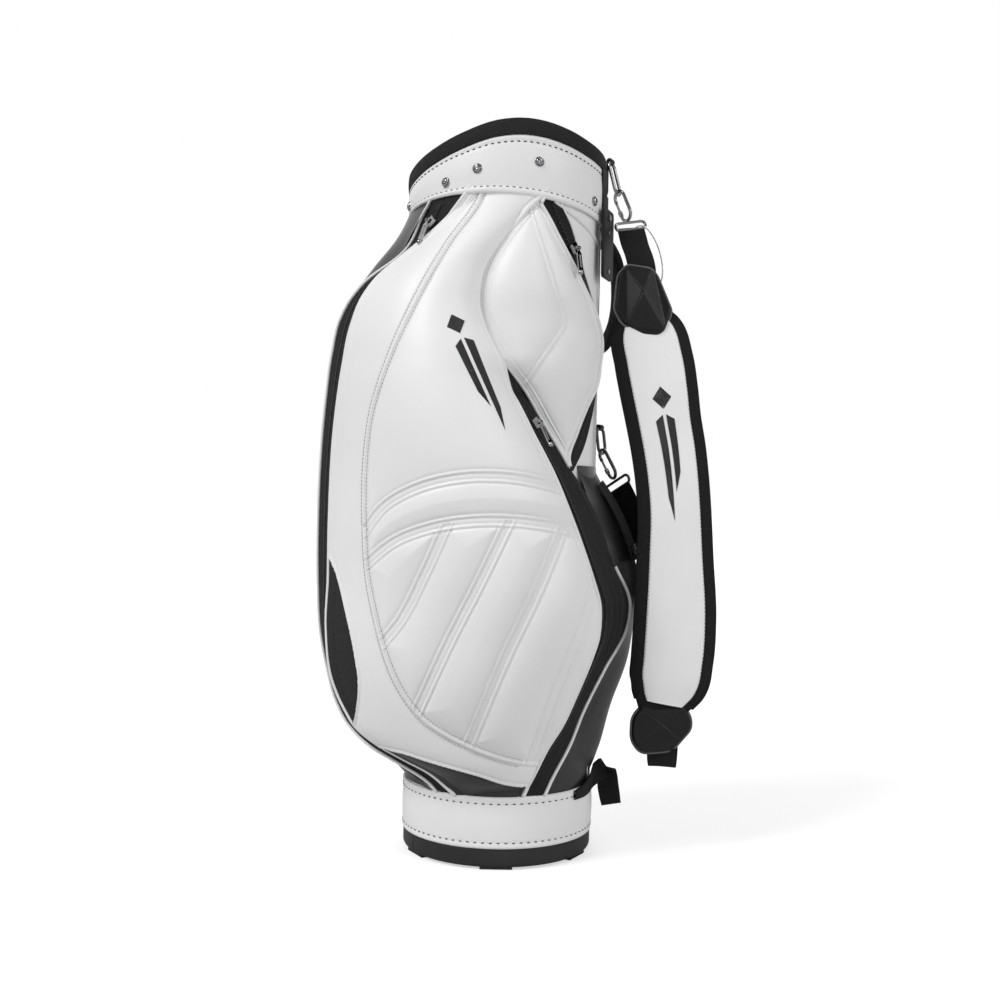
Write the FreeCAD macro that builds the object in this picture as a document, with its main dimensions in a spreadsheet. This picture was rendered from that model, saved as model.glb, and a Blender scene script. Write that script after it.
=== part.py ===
import FreeCAD
import Part
import Sketcher

import math
import os
import re

from FreeCAD import Placement, Rotation, Vector

# Golf staff bag: a moulded base and top ring joined by a tube, with sewn pockets, zips and a shoulder strap.
# Frame: origin at the centre of the underside, +Z up, front (the large embossed panel) towards -Y, strap on the +X side.
# Millimetres throughout.

DIMENSIONS = {
    # base
    "foot_height": 2.5,
    "boss_radius": 22.0,
    "foot_width": 38.0,
    "foot_depth": 14.0,
    "foot_circle": 99.0,
    "base_radius": 115.5,
    "base_floor": 6.5,
    "skirt_top": 24.0,
    "socket_radius": 107.2,
    "socket_wall": 2.6,
    "socket_top": 82.0,
    "floor_pad_radius": 97.0,
    "floor_pad_height": 8.0,
    # tube and its cover, both slightly wider at the top
    "tube_base_radius": 110.2,
    "tube_top_radius": 115.2,
    "tube_wall": 1.4,
    "tube_top": 795.0,
    "cover_gap": 0.2,
    "cover_thickness": 2.2,
    "cover_top": 788.5,
    # cuffs and top ring
    "low_cuff_radius": 117.0,
    "low_cuff_wall": 2.8,
    "low_cuff_top": 84.0,
    "ring_radius": 118.5,
    "ring_bottom": 789.0,
    "cuff_radius": 122.0,
    "cuff_bottom": 772.0,
    "rim_radius": 123.0,
    "rim_wall": 8.4,
    "rim_height": 20.0,
    "rim_centre": 842.0,
    "rim_rise_right": 0.084,
    "rim_rise_front": 0.2,
    # divider
    "divider_radius": 113.5,
    "divider_wall": 5.0,
    "divider_bar": 6.0,
    "divider_bottom": 790.0,
    "divider_depth": 14.0,
    "divider_column": 39.0,
    "panel_thickness": 1.4,
    "panel_half_width": 103.5,
    "panel_bottom": 22.0,
    "stay_radius": 3.0,
    "stay_circle": 101.2,
    "pocket_wall": 4.0,
    # hardware
    "stud_radius": 5.6,
    "stud_height": 3.2,
    "ring_wire": 2.0,
    "hook_wire": 2.1,
    "hook_length": 44.0,
    "hook_width": 22.0,
    "web_width": 34.0,
    "web_thickness": 2.6,
    "pad_thickness": 13.0,
    "cap_thickness": 17.0,
    "tape_width": 22.0,
    "tape_thickness": 1.6,
    "slider_length": 13.0,
    "slider_width": 9.0,
    "slider_height": 4.2,
    "puller_length": 33.0,
    "pin_radius": 0.9,
    "pin_clearance": 0.06,
    "tag_width": 42.0,
    "tag_height": 84.0,
    "tag_thickness": 4.0,
    "tag_pivot_drop": 10.0,
    "tag_pivot_radius": 1.5,
    "handle_width": 26.0,
    "handle_thickness": 9.0,
}

# Front pocket, by height: front-left edge, back-left edge, back-right edge, front-right edge, crown of the panel.
FRONT_POCKET = [
    (84.5, (-50, -106), (-74, -92), (55, -104), (29, -107), (-10, -121)),
    (125, (-112, -99), (-145, -64), (75, -92), (49, -113), (-30, -142)),
    (160, (-170, -82), (-186, -42), (93, -80), (69, -119), (-40, -157)),
    (205, (-196, -72), (-208, -28), (114, -68), (89, -124), (-44, -172)),
    (270, (-207, -67), (-221, -20), (150, -53), (112, -128), (-45, -187)),
    (307, (-207, -65), (-224, -18), (156, -50), (113, -132), (-45, -192)),
    (354, (-206, -65), (-226, -18), (135, -60), (99, -138), (-47, -195)),
    (410, (-205, -65), (-226, -18), (113, -74), (78, -142), (-52, -196)),
    (473, (-203, -65), (-223, -18), (74, -95), (50, -143), (-60, -194)),
    (518, (-201, -65), (-221, -18), (46, -108), (26, -141), (-66, -190)),
    (584, (-193, -65), (-215, -19), (4, -126), (-4, -134), (-78, -178)),
    (632, (-184, -65), (-206, -22), (-18, -121), (-22, -129), (-84, -163)),
    (671, (-168, -67), (-187, -34), (-24, -119), (-27, -126), (-84, -151)),
    (713, (-125, -76), (-134, -52), (-9, -114), (-13, -121), (-65, -136)),
    (747, (-80, -94), (-108, -66), (14, -110), (11, -116), (-35, -126)),
    (783, (-46, -107), (-82, -80), (44, -102), (41, -108), (-3, -119)),
]
# Petal pocket: left edge, right edge, back-right edge, crown.
PETAL_POCKET = [
    (475, (74, -95), (77, -94), (79, -86), (75.5, -95.5)),
    (507, (54, -105), (86, -82), (98, -64), (71, -100)),
    (538, (35, -114), (98, -70), (106, -55), (72, -107)),
    (567, (16, -122), (111, -58), (112, -46), (70, -117)),
    (595, (-7, -129), (116, -55), (114, -44), (64, -128)),
    (620, (-18, -129), (116, -57), (114, -46), (58, -135)),
    (662, (-27, -125), (103, -75), (104, -64), (46, -138)),
    (692, (-20, -122), (86, -90), (92, -76), (38, -136)),
    (733, (2, -116), (61, -105), (76, -88), (34, -124)),
    (783, (42, -110), (43, -110), (54, -103), (42.5, -110.5)),
]
# Right side pocket: front corner, outermost point, rear corner, foot on the tube.
RIGHT_POCKET = [
    (84.5, (58, -100), (112, -24), (112, 30), (88, 72)),
    (125, (80, -88), (128, -10), (124, 42), (80, 82)),
    (179, (104, -70), (142, -6), (134, 52), (74, 88)),
    (237, (133, -56), (163, -4), (144, 58), (70, 92)),
    (289, (155, -48), (170, -2), (150, 60), (68, 94)),
    (318, (154, -46), (174, 0), (150, 60), (68, 94)),
    (349, (140, -54), (171, 0), (148, 58), (70, 92)),
    (379, (126, -62), (161, 0), (142, 54), (74, 89)),
    (433, (102, -74), (144, 0), (130, 44), (84, 80)),
    (467, (84, -84), (122, 0), (117, 36), (92, 70)),
    (505, (90, -74), (117.4, -4), (115, 24), (100, 58)),
]
# Left side pocket, the same four points.
LEFT_POCKET = [
    (98, (-90, -84), (-116, -16), (-112, 34), (-84, 78)),
    (125, (-144, -60), (-152, -10), (-132, 50), (-76, 86)),
    (160, (-185, -38), (-190, -4), (-158, 60), (-70, 92)),
    (205, (-207, -24), (-214, 4), (-176, 70), (-66, 96)),
    (270, (-220, -16), (-229, 12), (-188, 78), (-64, 98)),
    (354, (-225, -14), (-234, 16), (-192, 82), (-62, 100)),
    (473, (-222, -14), (-231, 16), (-190, 80), (-62, 100)),
    (584, (-214, -15), (-220, 12), (-180, 74), (-66, 98)),
    (632, (-205, -18), (-210, 8), (-172, 68), (-70, 94)),
    (671, (-186, -30), (-198, 2), (-160, 62), (-76, 90)),
    (713, (-133, -48), (-166, -4), (-142, 54), (-84, 82)),
    (747, (-109, -60), (-137, -6), (-124, 44), (-92, 74)),
    (783, (-92, -72), (-117.5, -8), (-112, 36), (-98, 64)),
]

# Each zip runs on a circular arc through three points; "across" points from the arc towards the back of the pocket,
# "rest" is where the slider stands along the arc (0 to 1).
ZIPS = {
    "left": dict(points=[(-84, -89, 757), (-129, -70, 713), (-163, -61, 686)], across=(-28, 28, 0), rest=0.06),
    "petal": dict(points=[(56, -110, 763), (80, -95, 719), (104, -77, 664)], across=(16, 18, 0), rest=0.42),
    "front": dict(points=[(15, -133, 548), (66, -128, 462), (114, -113, 354)], across=(25, 48, 0), rest=0.18),
    "side": dict(points=[(122, -38, 447), (146, -33, 408), (163, -29, 366)], across=(45, 84, 0), rest=0.95),
}

RING_TOP = Vector(128.2, -1, 852)
SWING_TOP = Vector(139, 0, 811)
LOW_RING_TOP = Vector(123, 31, 522)
SWING_LOW = Vector(127, 32, 489)
HOOK_LOW = Vector(152, -9, 776)
STUDS_FRONT = [(-72, 797), (-35, 809), (36, 818), (104, 787)]
STUDS_REAR = [30, 68, 112, 150, 192]
LOW_HOOK_LOW = Vector(143.6, 22.05, 455.8)

document = FreeCAD.newDocument("golf_staff_bag")
sheet = document.addObject("Spreadsheet::Sheet", "sizes")
for row, (alias, value) in enumerate(DIMENSIONS.items(), start=1):
    sheet.set(f"A{row}", alias)
    sheet.set(f"B{row}", str(value))
    sheet.setAlias(f"B{row}", alias)
document.recompute()

sub_parts = []
SIZE_NAME = re.compile("[a-z]+_[a-z_]+")


def size(alias):
    """A driving dimension, read from the sheet."""
    return float(getattr(sheet, alias))


def keep(item, label):
    """Marks a document object as one finished sub-part under its own label."""
    item.Label = label
    sub_parts.append(item)
    return item


def feature(label, shape, placement=None):
    """A sub-part whose shape comes straight from Part's own functions."""
    item = document.addObject("Part::Feature", label + "_shape")
    item.Shape = shape
    if placement is not None:
        item.Placement = placement
    return keep(item, label)


def bound(kind, name, placement=None, **expressions):
    """A Part primitive whose sizes follow the sheet."""
    item = document.addObject(kind, name)
    for prop, expression in expressions.items():
        item.setExpression(prop, expression)
    if placement is not None:
        item.Placement = placement
    return item


def boolean(kind, name, base, tool):
    item = document.addObject(kind, name)
    item.Base = base
    item.Tool = tool
    return item


def revolved(label, profile):
    """A body turned about Z from a closed profile of (radius, height) expressions; "0" puts a corner on the axis."""
    profile = [tuple(SIZE_NAME.sub(r"sizes.\g<0>", text) for text in corner) for corner in profile]
    body = document.addObject("PartDesign::Body", label + "_body")
    sketch = body.newObject("Sketcher::SketchObject", label + "_profile")
    plane = next(f for f in body.Origin.OriginFeatures if f.Role == "XZ_Plane")
    sketch.AttachmentSupport = [(plane, "")]
    sketch.MapMode = "FlatFace"
    corners = [
        Vector(float(sheet.evalExpression(x)), float(sheet.evalExpression(z)), 0)
        for x, z in profile
    ]
    count = len(corners)
    for i in range(count):
        sketch.addGeometry(Part.LineSegment(corners[i], corners[(i + 1) % count]), False)
    for i in range(count):
        sketch.addConstraint(Sketcher.Constraint("Coincident", i, 2, (i + 1) % count, 1))
    for i, (x, z) in enumerate(profile):
        if x == "0":
            sketch.addConstraint(Sketcher.Constraint("PointOnObject", i, 1, -2))
        else:
            at = sketch.addConstraint(Sketcher.Constraint("DistanceX", -1, 1, i, 1, corners[i].x))
            sketch.setExpression(f"Constraints[{at}]", x)
        at = sketch.addConstraint(Sketcher.Constraint("DistanceY", -1, 1, i, 1, corners[i].y))
        sketch.setExpression(f"Constraints[{at}]", z)
    turn = body.newObject("PartDesign::Revolution", label + "_turn")
    turn.Profile = sketch
    turn.ReferenceAxis = (sketch, ["V_Axis"])
    turn.Angle = 360
    return body


def frame_placement(origin, along, out):
    """Local Y runs along, local Z points out, local X completes the frame."""
    y = Vector(along).normalize()
    z = (Vector(out) - y * Vector(out).dot(y)).normalize()
    return Placement(Vector(origin), Rotation(y.cross(z), y, z, "YZX"))


def lofted(wires):
    return Part.makeLoft(wires, True, True)


def arc_edge(a, b, c):
    return Part.Arc(a, b, c).toShape()


def line_edge(a, b):
    return Part.LineSegment(a, b).toShape()


def ribbon(points, widths, thickness):
    """A strap: rectangles stood across a path and joined. Each width is the full width as a vector."""
    path = [Vector(*p) for p in points]
    wires = []
    for i, centre in enumerate(path):
        run = path[min(i + 1, len(path) - 1)] - path[max(i - 1, 0)]
        half = Vector(*widths[i]) * 0.5
        out = run.cross(half).normalize() * (thickness / 2)
        corners = [centre + half + out, centre - half + out, centre - half - out, centre + half - out]
        wires.append(Part.makePolygon(corners + corners[:1]))
    return lofted(wires)


def wire_loop(length, width, wire):
    """A rounded link of round wire, standing from the local origin down to -length along Y, in the XY plane."""
    bend = width / 2 - wire
    top = -wire - bend
    low = -length + wire + bend
    half = Vector(bend, 0, 0)
    path = Part.Wire(
        [
            arc_edge(Vector(0, top, 0) - half, Vector(0, top + bend, 0), Vector(0, top, 0) + half),
            line_edge(Vector(bend, top, 0), Vector(bend, low, 0)),
            arc_edge(Vector(0, low, 0) + half, Vector(0, low - bend, 0), Vector(0, low, 0) - half),
            line_edge(Vector(-bend, low, 0), Vector(-bend, top, 0)),
        ]
    )
    section = Part.Wire(Part.makeCircle(wire, Vector(bend, (top + low) / 2, 0), Vector(0, 1, 0)))
    middle = Part.Wire(
        [
            line_edge(Vector(bend, (top + low) / 2, 0), Vector(bend, low, 0)),
            path.Edges[2],
            path.Edges[3],
            path.Edges[0],
            line_edge(Vector(bend, top, 0), Vector(bend, (top + low) / 2, 0)),
        ]
    )
    return middle.makePipeShell([section], True, False)


def square_loop(length, width, wire, corner):
    """A rectangular loop of round wire with rounded corners, hanging from the local origin along -Y."""
    half = width / 2 - wire
    high, low = -wire, -length + wire
    k = corner * (1 - math.sqrt(0.5))
    edges = []
    corners = [(half, high, 1, 1), (half, low, 1, -1), (-half, low, -1, -1), (-half, high, -1, 1)]
    for i, (x, y, sx, sy) in enumerate(corners):
        beside = Vector(x, y - sy * corner, 0)
        ahead = Vector(x - sx * corner, y, 0)
        middle = Vector(x - sx * k, y - sy * k, 0)
        start, end = (ahead, beside) if i % 2 == 0 else (beside, ahead)
        edges.append(arc_edge(start, middle, end))
    run = []
    for i, arc in enumerate(edges):
        run.append(arc)
        run.append(line_edge(arc.Vertexes[-1].Point, edges[(i + 1) % 4].Vertexes[0].Point))
    path = Part.Wire(run)
    start = edges[0].Vertexes[0].Point
    section = Part.Wire(Part.makeCircle(wire, start, Vector(1, 0, 0)))
    return path.makePipeShell([section], True, False)


def cylinder_between(a, b, radius):
    a, b = Vector(a), Vector(b)
    return Part.makeCylinder(radius, (b - a).Length, a, b - a)


# ---------------------------------------------------------------- base


def build_base():
    cup = revolved(
        "base_cup",
        [
            ("0", "0"),
            ("boss_radius", "0"),
            ("boss_radius", "foot_height"),
            ("base_radius - 4", "foot_height"),
            ("base_radius", "foot_height + 4"),
            ("base_radius", "skirt_top"),
            ("socket_radius", "skirt_top"),
            ("socket_radius", "socket_top"),
            ("socket_radius - socket_wall", "socket_top"),
            ("socket_radius - socket_wall", "foot_height + base_floor"),
            ("0", "foot_height + base_floor"),
        ],
    )
    keep(cup, "base_cup")
    feet = []
    for i in range(6):
        turn = Rotation(Vector(0, 0, 1), 60 * i)
        start = turn.multVec(Vector(-size("foot_width") / 2, -size("foot_circle") - size("foot_depth"), 0))
        block = bound(
            "Part::Box",
            f"foot_block_{i}",
            Placement(start, turn),
            Length="sizes.foot_width",
            Width="sizes.foot_depth",
            Height="sizes.foot_height",
        )
        feet.append(block)
    group = document.addObject("Part::Compound", "feet_group")
    group.Links = feet
    keep(group, "base_feet")
    pad = bound(
        "Part::Cylinder",
        "floor_pad_disc",
        Placement(Vector(0, 0, size("foot_height") + size("base_floor")), Rotation()),
        Radius="sizes.floor_pad_radius",
        Height="sizes.floor_pad_height",
    )
    keep(pad, "floor_pad")


# ---------------------------------------------------------------- tube, cover, cuffs, top ring


def build_tube():
    keep(
        revolved(
            "body_tube",
            [
                ("tube_base_radius", "skirt_top + 0.3"),
                ("tube_top_radius", "tube_top"),
                ("tube_top_radius - tube_wall", "tube_top"),
                ("tube_base_radius - tube_wall", "skirt_top + 0.3"),
            ],
        ),
        "body_tube",
    )
    keep(
        revolved(
            "body_cover",
            [
                ("tube_base_radius + cover_gap", "skirt_top + 0.3"),
                ("tube_base_radius + cover_gap + cover_thickness", "skirt_top + 0.3"),
                ("tube_top_radius + cover_gap + cover_thickness - 0.2", "cover_top"),
                ("tube_top_radius + cover_gap", "cover_top"),
            ],
        ),
        "body_cover",
    )
    keep(
        revolved(
            "lower_cuff",
            [
                ("low_cuff_radius - low_cuff_wall", "skirt_top + 0.3"),
                ("low_cuff_radius", "skirt_top + 0.3"),
                ("low_cuff_radius", "low_cuff_top"),
                ("low_cuff_radius - low_cuff_wall", "low_cuff_top"),
            ],
        ),
        "lower_cuff",
    )


def slanted_block(name, drop, height, above=False):
    """A block under (or over) the slanted rim plane lowered by drop."""
    tilt = Vector(-size("rim_rise_right"), size("rim_rise_front"), 1).normalize()
    turn = Rotation(Vector(0, 0, 1), tilt)
    span = 400.0
    base = Vector(0, 0, size("rim_centre") - drop)
    corner = Vector(-span / 2, -span / 2, 0 if above else -height)
    block = document.addObject("Part::Box", name)
    block.Length = span
    block.Width = span
    block.Height = height
    block.Placement = Placement(base + turn.multVec(corner), turn)
    return block


def sleeve(name, outer, wall, bottom, height):
    """A plain tube from sheet expressions, tall enough to be cut by the rim plane."""
    place = Placement(Vector(0, 0, float(sheet.evalExpression(bottom))), Rotation())
    solid = bound("Part::Cylinder", name + "_outside", place, Radius=outer, Height=height)
    core = bound("Part::Cylinder", name + "_inside", place, Radius=f"{outer} - {wall}", Height=height)
    return boolean("Part::Cut", name + "_sleeve", solid, core)


def build_top():
    # the rim's height is measured square to its slant, the gap straight down
    rim_gap = 0.9
    ring = sleeve("ring", "sizes.ring_radius", "(sizes.ring_radius - sizes.tube_top_radius - 0.2)", "ring_bottom", "120")
    under_rim = slanted_block("under_rim_for_ring", size("rim_height") + rim_gap, 300)
    keep(boolean("Part::Common", "ring_cut", ring, under_rim), "top_ring")
    cuff = sleeve("cuff", "sizes.cuff_radius", "(sizes.cuff_radius - sizes.ring_radius - 0.2)", "cuff_bottom", "120")
    under_rim = slanted_block("under_rim_for_cuff", size("rim_height") + rim_gap, 300)
    keep(boolean("Part::Common", "cuff_cut", cuff, under_rim), "upper_cuff")
    rim = sleeve("rim", "sizes.rim_radius", "sizes.rim_wall", "cuff_bottom", "140")
    slab = slanted_block("rim_slab", 0, size("rim_height"))
    band = boolean("Part::Common", "rim_band", rim, slab)
    document.recompute()
    rounded = document.addObject("Part::Fillet", "rim_rounded")
    rounded.Base = band
    top_edges = [
        i + 1
        for i, edge in enumerate(band.Shape.Edges)
        if edge.Length > 600 and edge.CenterOfMass.z > size("rim_centre") - size("rim_height") / 2
    ]
    rounded.Edges = [(i, 3.4, 3.4) for i in top_edges]
    keep(rounded, "rim_pad")


# ---------------------------------------------------------------- divider and stays


def build_divider():
    hoop = sleeve("divider_hoop", "sizes.divider_radius", "sizes.divider_wall", "divider_bottom", "110")
    inner = size("divider_radius") - size("divider_wall") / 2
    bars = []
    for name, start, length, width in [
        ("across", (-inner, -size("divider_bar") / 2), 2 * inner, size("divider_bar")),
        ("left", (-size("divider_column") - size("divider_bar") / 2, -inner * 0.92), size("divider_bar"), inner * 1.84),
        ("right", (size("divider_column") - size("divider_bar") / 2, -inner * 0.92), size("divider_bar"), inner * 1.84),
    ]:
        bar = document.addObject("Part::Box", "divider_bar_" + name)
        bar.Length = length
        bar.Width = width
        bar.Height = 110
        bar.Placement = Placement(Vector(start[0], start[1], size("divider_bottom")), Rotation())
        bars.append(bar)
    grid = document.addObject("Part::MultiFuse", "divider_grid_all")
    grid.Shapes = [hoop] + bars
    under = slanted_block("under_rim_for_divider", size("divider_depth"), 300)
    keep(boolean("Part::Common", "divider_cut", grid, under), "divider_grid")

    top = size("divider_bottom")
    bottom = size("panel_bottom")
    thick = size("panel_thickness")
    half = size("panel_half_width")
    centre = Part.makeBox(2 * half, thick, top - bottom, Vector(-half, -thick / 2, bottom))
    feature("divider_panel_centre", centre)
    wings = []
    for side in (-1, 1):
        for depth in (-1, 1):
            reach = 94.0
            y = thick / 2 + 0.3 if depth > 0 else -thick / 2 - 0.3 - reach
            x = side * size("divider_column") - thick / 2
            wings.append(Part.makeBox(thick, reach, top - bottom, Vector(x, y, bottom)))
    feature("divider_panel_wings", Part.makeCompound(wings))

    stays = []
    for i, turn in enumerate((52, 128, 232, 308)):
        angle = math.radians(turn)
        floor = size("foot_height") + size("base_floor")
        place = Placement(
            Vector(size("stay_circle") * math.cos(angle), size("stay_circle") * math.sin(angle), floor), Rotation()
        )
        stays.append(
            bound(
                "Part::Cylinder",
                f"stay_rod_{i}",
                place,
                Radius="sizes.stay_radius",
                Height="sizes.divider_bottom - sizes.foot_height - sizes.base_floor",
            )
        )
    group = document.addObject("Part::Compound", "stay_group")
    group.Links = stays
    keep(group, "stays")


# ---------------------------------------------------------------- sewn pockets


def cone_outside(clearance):
    """The cover's outside, grown by a clearance, to hollow the backs of the pockets."""
    base = size("tube_base_radius") + size("cover_gap") + size("cover_thickness") + clearance
    top = size("tube_top_radius") + size("cover_gap") + size("cover_thickness") + clearance
    return Part.makeCone(base, top, size("cover_top") - size("skirt_top"), Vector(0, 0, size("skirt_top")))


def crowned_sections(rows):
    """Horizontal outlines with a bowed front between two edges and straight gussets behind them."""
    wires = []
    for row in rows:
        z, left, back_left, back_right, right, crown = row
        p = [Vector(x, y, z) for x, y in (left, crown, right, back_right, back_left)]
        wires.append(
            Part.Wire(
                [
                    arc_edge(p[0], p[1], p[2]),
                    line_edge(p[2], p[3]),
                    line_edge(p[3], p[4]),
                    line_edge(p[4], p[0]),
                ]
            )
        )
    return wires


def side_sections(rows):
    wires = []
    for z, front, outer, rear, foot in rows:
        inner = (0.55 * front[0], 0.35 * front[1])
        p = [Vector(x, y, z) for x, y in (front, outer, rear, foot, inner)]
        wires.append(Part.makePolygon(p + p[:1]))
    return wires


def zip_arc(name):
    """Centre, axis and angles of a zip's arc, with the outward direction of its tape."""
    a, b, c = (Vector(*p) for p in ZIPS[name]["points"])
    circle = Part.Arc(a, b, c).toShape().Curve
    centre = circle.Center
    axis = (a - centre).cross(c - centre).normalize()
    start = a - centre
    turn = math.degrees(math.acos(max(-1, min(1, (a - centre).dot(c - centre) / circle.Radius**2))))
    tangent = (c - a).normalize()
    out = tangent.cross(Vector(*ZIPS[name]["across"])).normalize()
    if out.dot(b) < 0:
        out = out * -1
    return dict(centre=centre, axis=axis, start=start, turn=turn, out=out, radius=circle.Radius)


def zip_point(arc, share):
    """Where the arc is at a share of its length, with its tangent there."""
    spin = Rotation(arc["axis"], arc["turn"] * share)
    spoke = spin.multVec(arc["start"])
    return arc["centre"] + spoke, arc["axis"].cross(spoke).normalize()


def zip_band(arc, width, low, high, share_from, share_to):
    """A band swept along the arc: width across it, from low to high along the tape's outward direction."""
    point, tangent = zip_point(arc, share_from)
    out = (arc["out"] - tangent * arc["out"].dot(tangent)).normalize()
    across = tangent.cross(out)
    corners = [
        point + across * (s * width / 2) + out * h for s, h in ((-1, low), (1, low), (1, high), (-1, high))
    ]
    face = Part.Face(Part.makePolygon(corners + corners[:1]))
    return face.revolve(arc["centre"], arc["axis"], arc["turn"] * (share_to - share_from))


def shrunk(rows, forward):
    """The rows of a pocket's hollow: every point drawn in towards the tube, the back ones also moved forward."""
    keep_share = 1 - size("pocket_wall") / 170
    inner = []
    for row in rows[1:-1]:
        points = []
        for k, (x, y) in enumerate(row[1:]):
            points.append((x * keep_share, y * keep_share + forward[k] * size("pocket_wall")))
        inner.append((row[0], *points))
    return inner


def build_pockets():
    tube_room = cone_outside(0.4)
    petal_rows = [(z, l, (l[0] * 0.9, -80), rb, r, m) for z, l, r, rb, m in PETAL_POCKET]
    front = lofted(crowned_sections(FRONT_POCKET))
    petal = lofted(crowned_sections(petal_rows)).cut(front)
    right = lofted(side_sections(RIGHT_POCKET)).cut(front).cut(petal)
    left = lofted(side_sections(LEFT_POCKET)).cut(front)
    backs = (0, -1, -1, 0, 0)
    pockets = {
        "front_pocket": front.cut(lofted(crowned_sections(shrunk(FRONT_POCKET, backs)))),
        "petal_pocket": petal.cut(lofted(crowned_sections(shrunk(petal_rows, (0.5, 0, -0.5, 0, 0))))),
        "right_side_pocket": right.cut(lofted(side_sections(shrunk(RIGHT_POCKET, (1, 0, 0, 0))))),
        "left_side_pocket": left.cut(lofted(side_sections(shrunk(LEFT_POCKET, (1, 0, 0, 0))))),
    }
    above = Part.makeBox(600, 600, 60, Vector(-300, -300, size("cuff_bottom") - 0.4))
    channels = [above]
    for name in ZIPS:
        arc = zip_arc(name)
        channels.append(zip_band(arc, size("tape_width") + 0.6, -size("tape_thickness") - 0.2, 30, -0.12, 1.12))
    channels += puller_rooms("left")
    for label, shape in pockets.items():
        shape = shape.cut(tube_room)
        for channel in channels:
            shape = shape.cut(channel)
        solid = max(shape.Solids, key=lambda s: s.Volume)
        feature(label, solid)


# ---------------------------------------------------------------- zips


def slider_places(name):
    """Placements of a zip's slider, along its chain, and of its puller, hanging down."""
    arc = zip_arc(name)
    point, tangent = zip_point(arc, ZIPS[name]["rest"])
    out = (arc["out"] - tangent * arc["out"].dot(tangent)).normalize()
    hang = (Vector(0, 0, -1) - out * Vector(0, 0, -1).dot(out)).normalize()
    return frame_placement(point, tangent, out), frame_placement(point, hang, out)


def puller_rooms(name):
    """The space that a hanging puller needs in the panel beside it, at every few millimetres of its travel."""
    arc = zip_arc(name)
    rest = ZIPS[name]["rest"]
    hanging = Part.makeBox(12, size("puller_length") + 6, 24, Vector(-6, -2, size("slider_height") - 1.4))
    hanging.Placement = slider_places(name)[1]
    rooms = []
    for share in (k / 24 for k in range(25)):
        room = hanging.copy()
        room.rotate(arc["centre"], arc["axis"], arc["turn"] * (share * 1.02 - 0.01 - rest))
        rooms.append(room)
    return rooms


def build_zip(name):
    arc = zip_arc(name)
    rest = ZIPS[name]["rest"]
    tape = zip_band(arc, size("tape_width"), -size("tape_thickness"), 0, -0.04, 1.1).cut(cone_outside(0.2))
    feature(name + "_zip_tape", tape)

    slider_place, post_place = slider_places(name)
    lift = 0.5
    length, width, height = size("slider_length"), size("slider_width"), size("slider_height")
    pin_height = height + 2.6
    body = Part.makeBox(width, length, height, Vector(-width / 2, -length / 2, lift))
    body = body.makeFillet(1.3, [e for e in body.Edges if abs(e.tangentAt(e.FirstParameter).z) > 0.9])
    slider = body.copy()
    slider.Placement = slider_place
    told(name + "_slider", arc["centre"], arc["axis"])
    print("TRAVEL", name, round(-arc["turn"] * rest, 2), round(arc["turn"] * (1 - rest), 2))
    told(name + "_puller", post_place.multVec(Vector(0, 0, lift + pin_height)), post_place.Rotation.multVec(Vector(1, 0, 0)))
    pin = size("pin_radius")
    posts = []
    for side in (-1, 1):
        posts.append(Part.makeBox(1.1, 3.2, pin_height + 1.4 - 2.0, Vector(side * 2.6 - 0.55, -1.6, lift + 2.0)))
    posts.append(Part.makeCylinder(pin, 5.2, Vector(-2.6, 0, lift + pin_height), Vector(1, 0, 0)))
    for shape in posts:
        shape.Placement = post_place.multiply(shape.Placement)
        slider = slider.fuse(shape)
    feature(name + "_zip_slider", slider.removeSplitter())

    eye_height = lift + pin_height
    bore = pin + size("pin_clearance")
    eye = Part.makeCylinder(2.1, 3.4, Vector(-1.7, 0, eye_height), Vector(1, 0, 0))
    reach = size("puller_length")
    bars = Part.makeBox(7.6, reach - 8, 1.9, Vector(-3.8, 4.6, eye_height - 0.95))
    bars = bars.makeFillet(3.2, [e for e in bars.Edges if abs(e.tangentAt(e.FirstParameter).z) > 0.9])
    slot = Part.makeBox(3.6, reach - 17, 6, Vector(-1.8, 8.2, eye_height - 3))
    neck = Part.makeBox(2.6, 5.0, 1.7, Vector(-1.3, 0.8, eye_height - 0.85))
    bead = Part.makeSphere(3.1, Vector(0, reach - 3.0, eye_height))
    puller = eye.fuse(neck).fuse(bars).cut(slot).fuse(bead)
    puller = puller.cut(Part.makeCylinder(bore, 8, Vector(-4, 0, eye_height), Vector(1, 0, 0)))
    puller = puller.removeSplitter()
    puller.Placement = post_place
    feature(name + "_zip_puller", puller)


# ---------------------------------------------------------------- strap hardware


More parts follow.
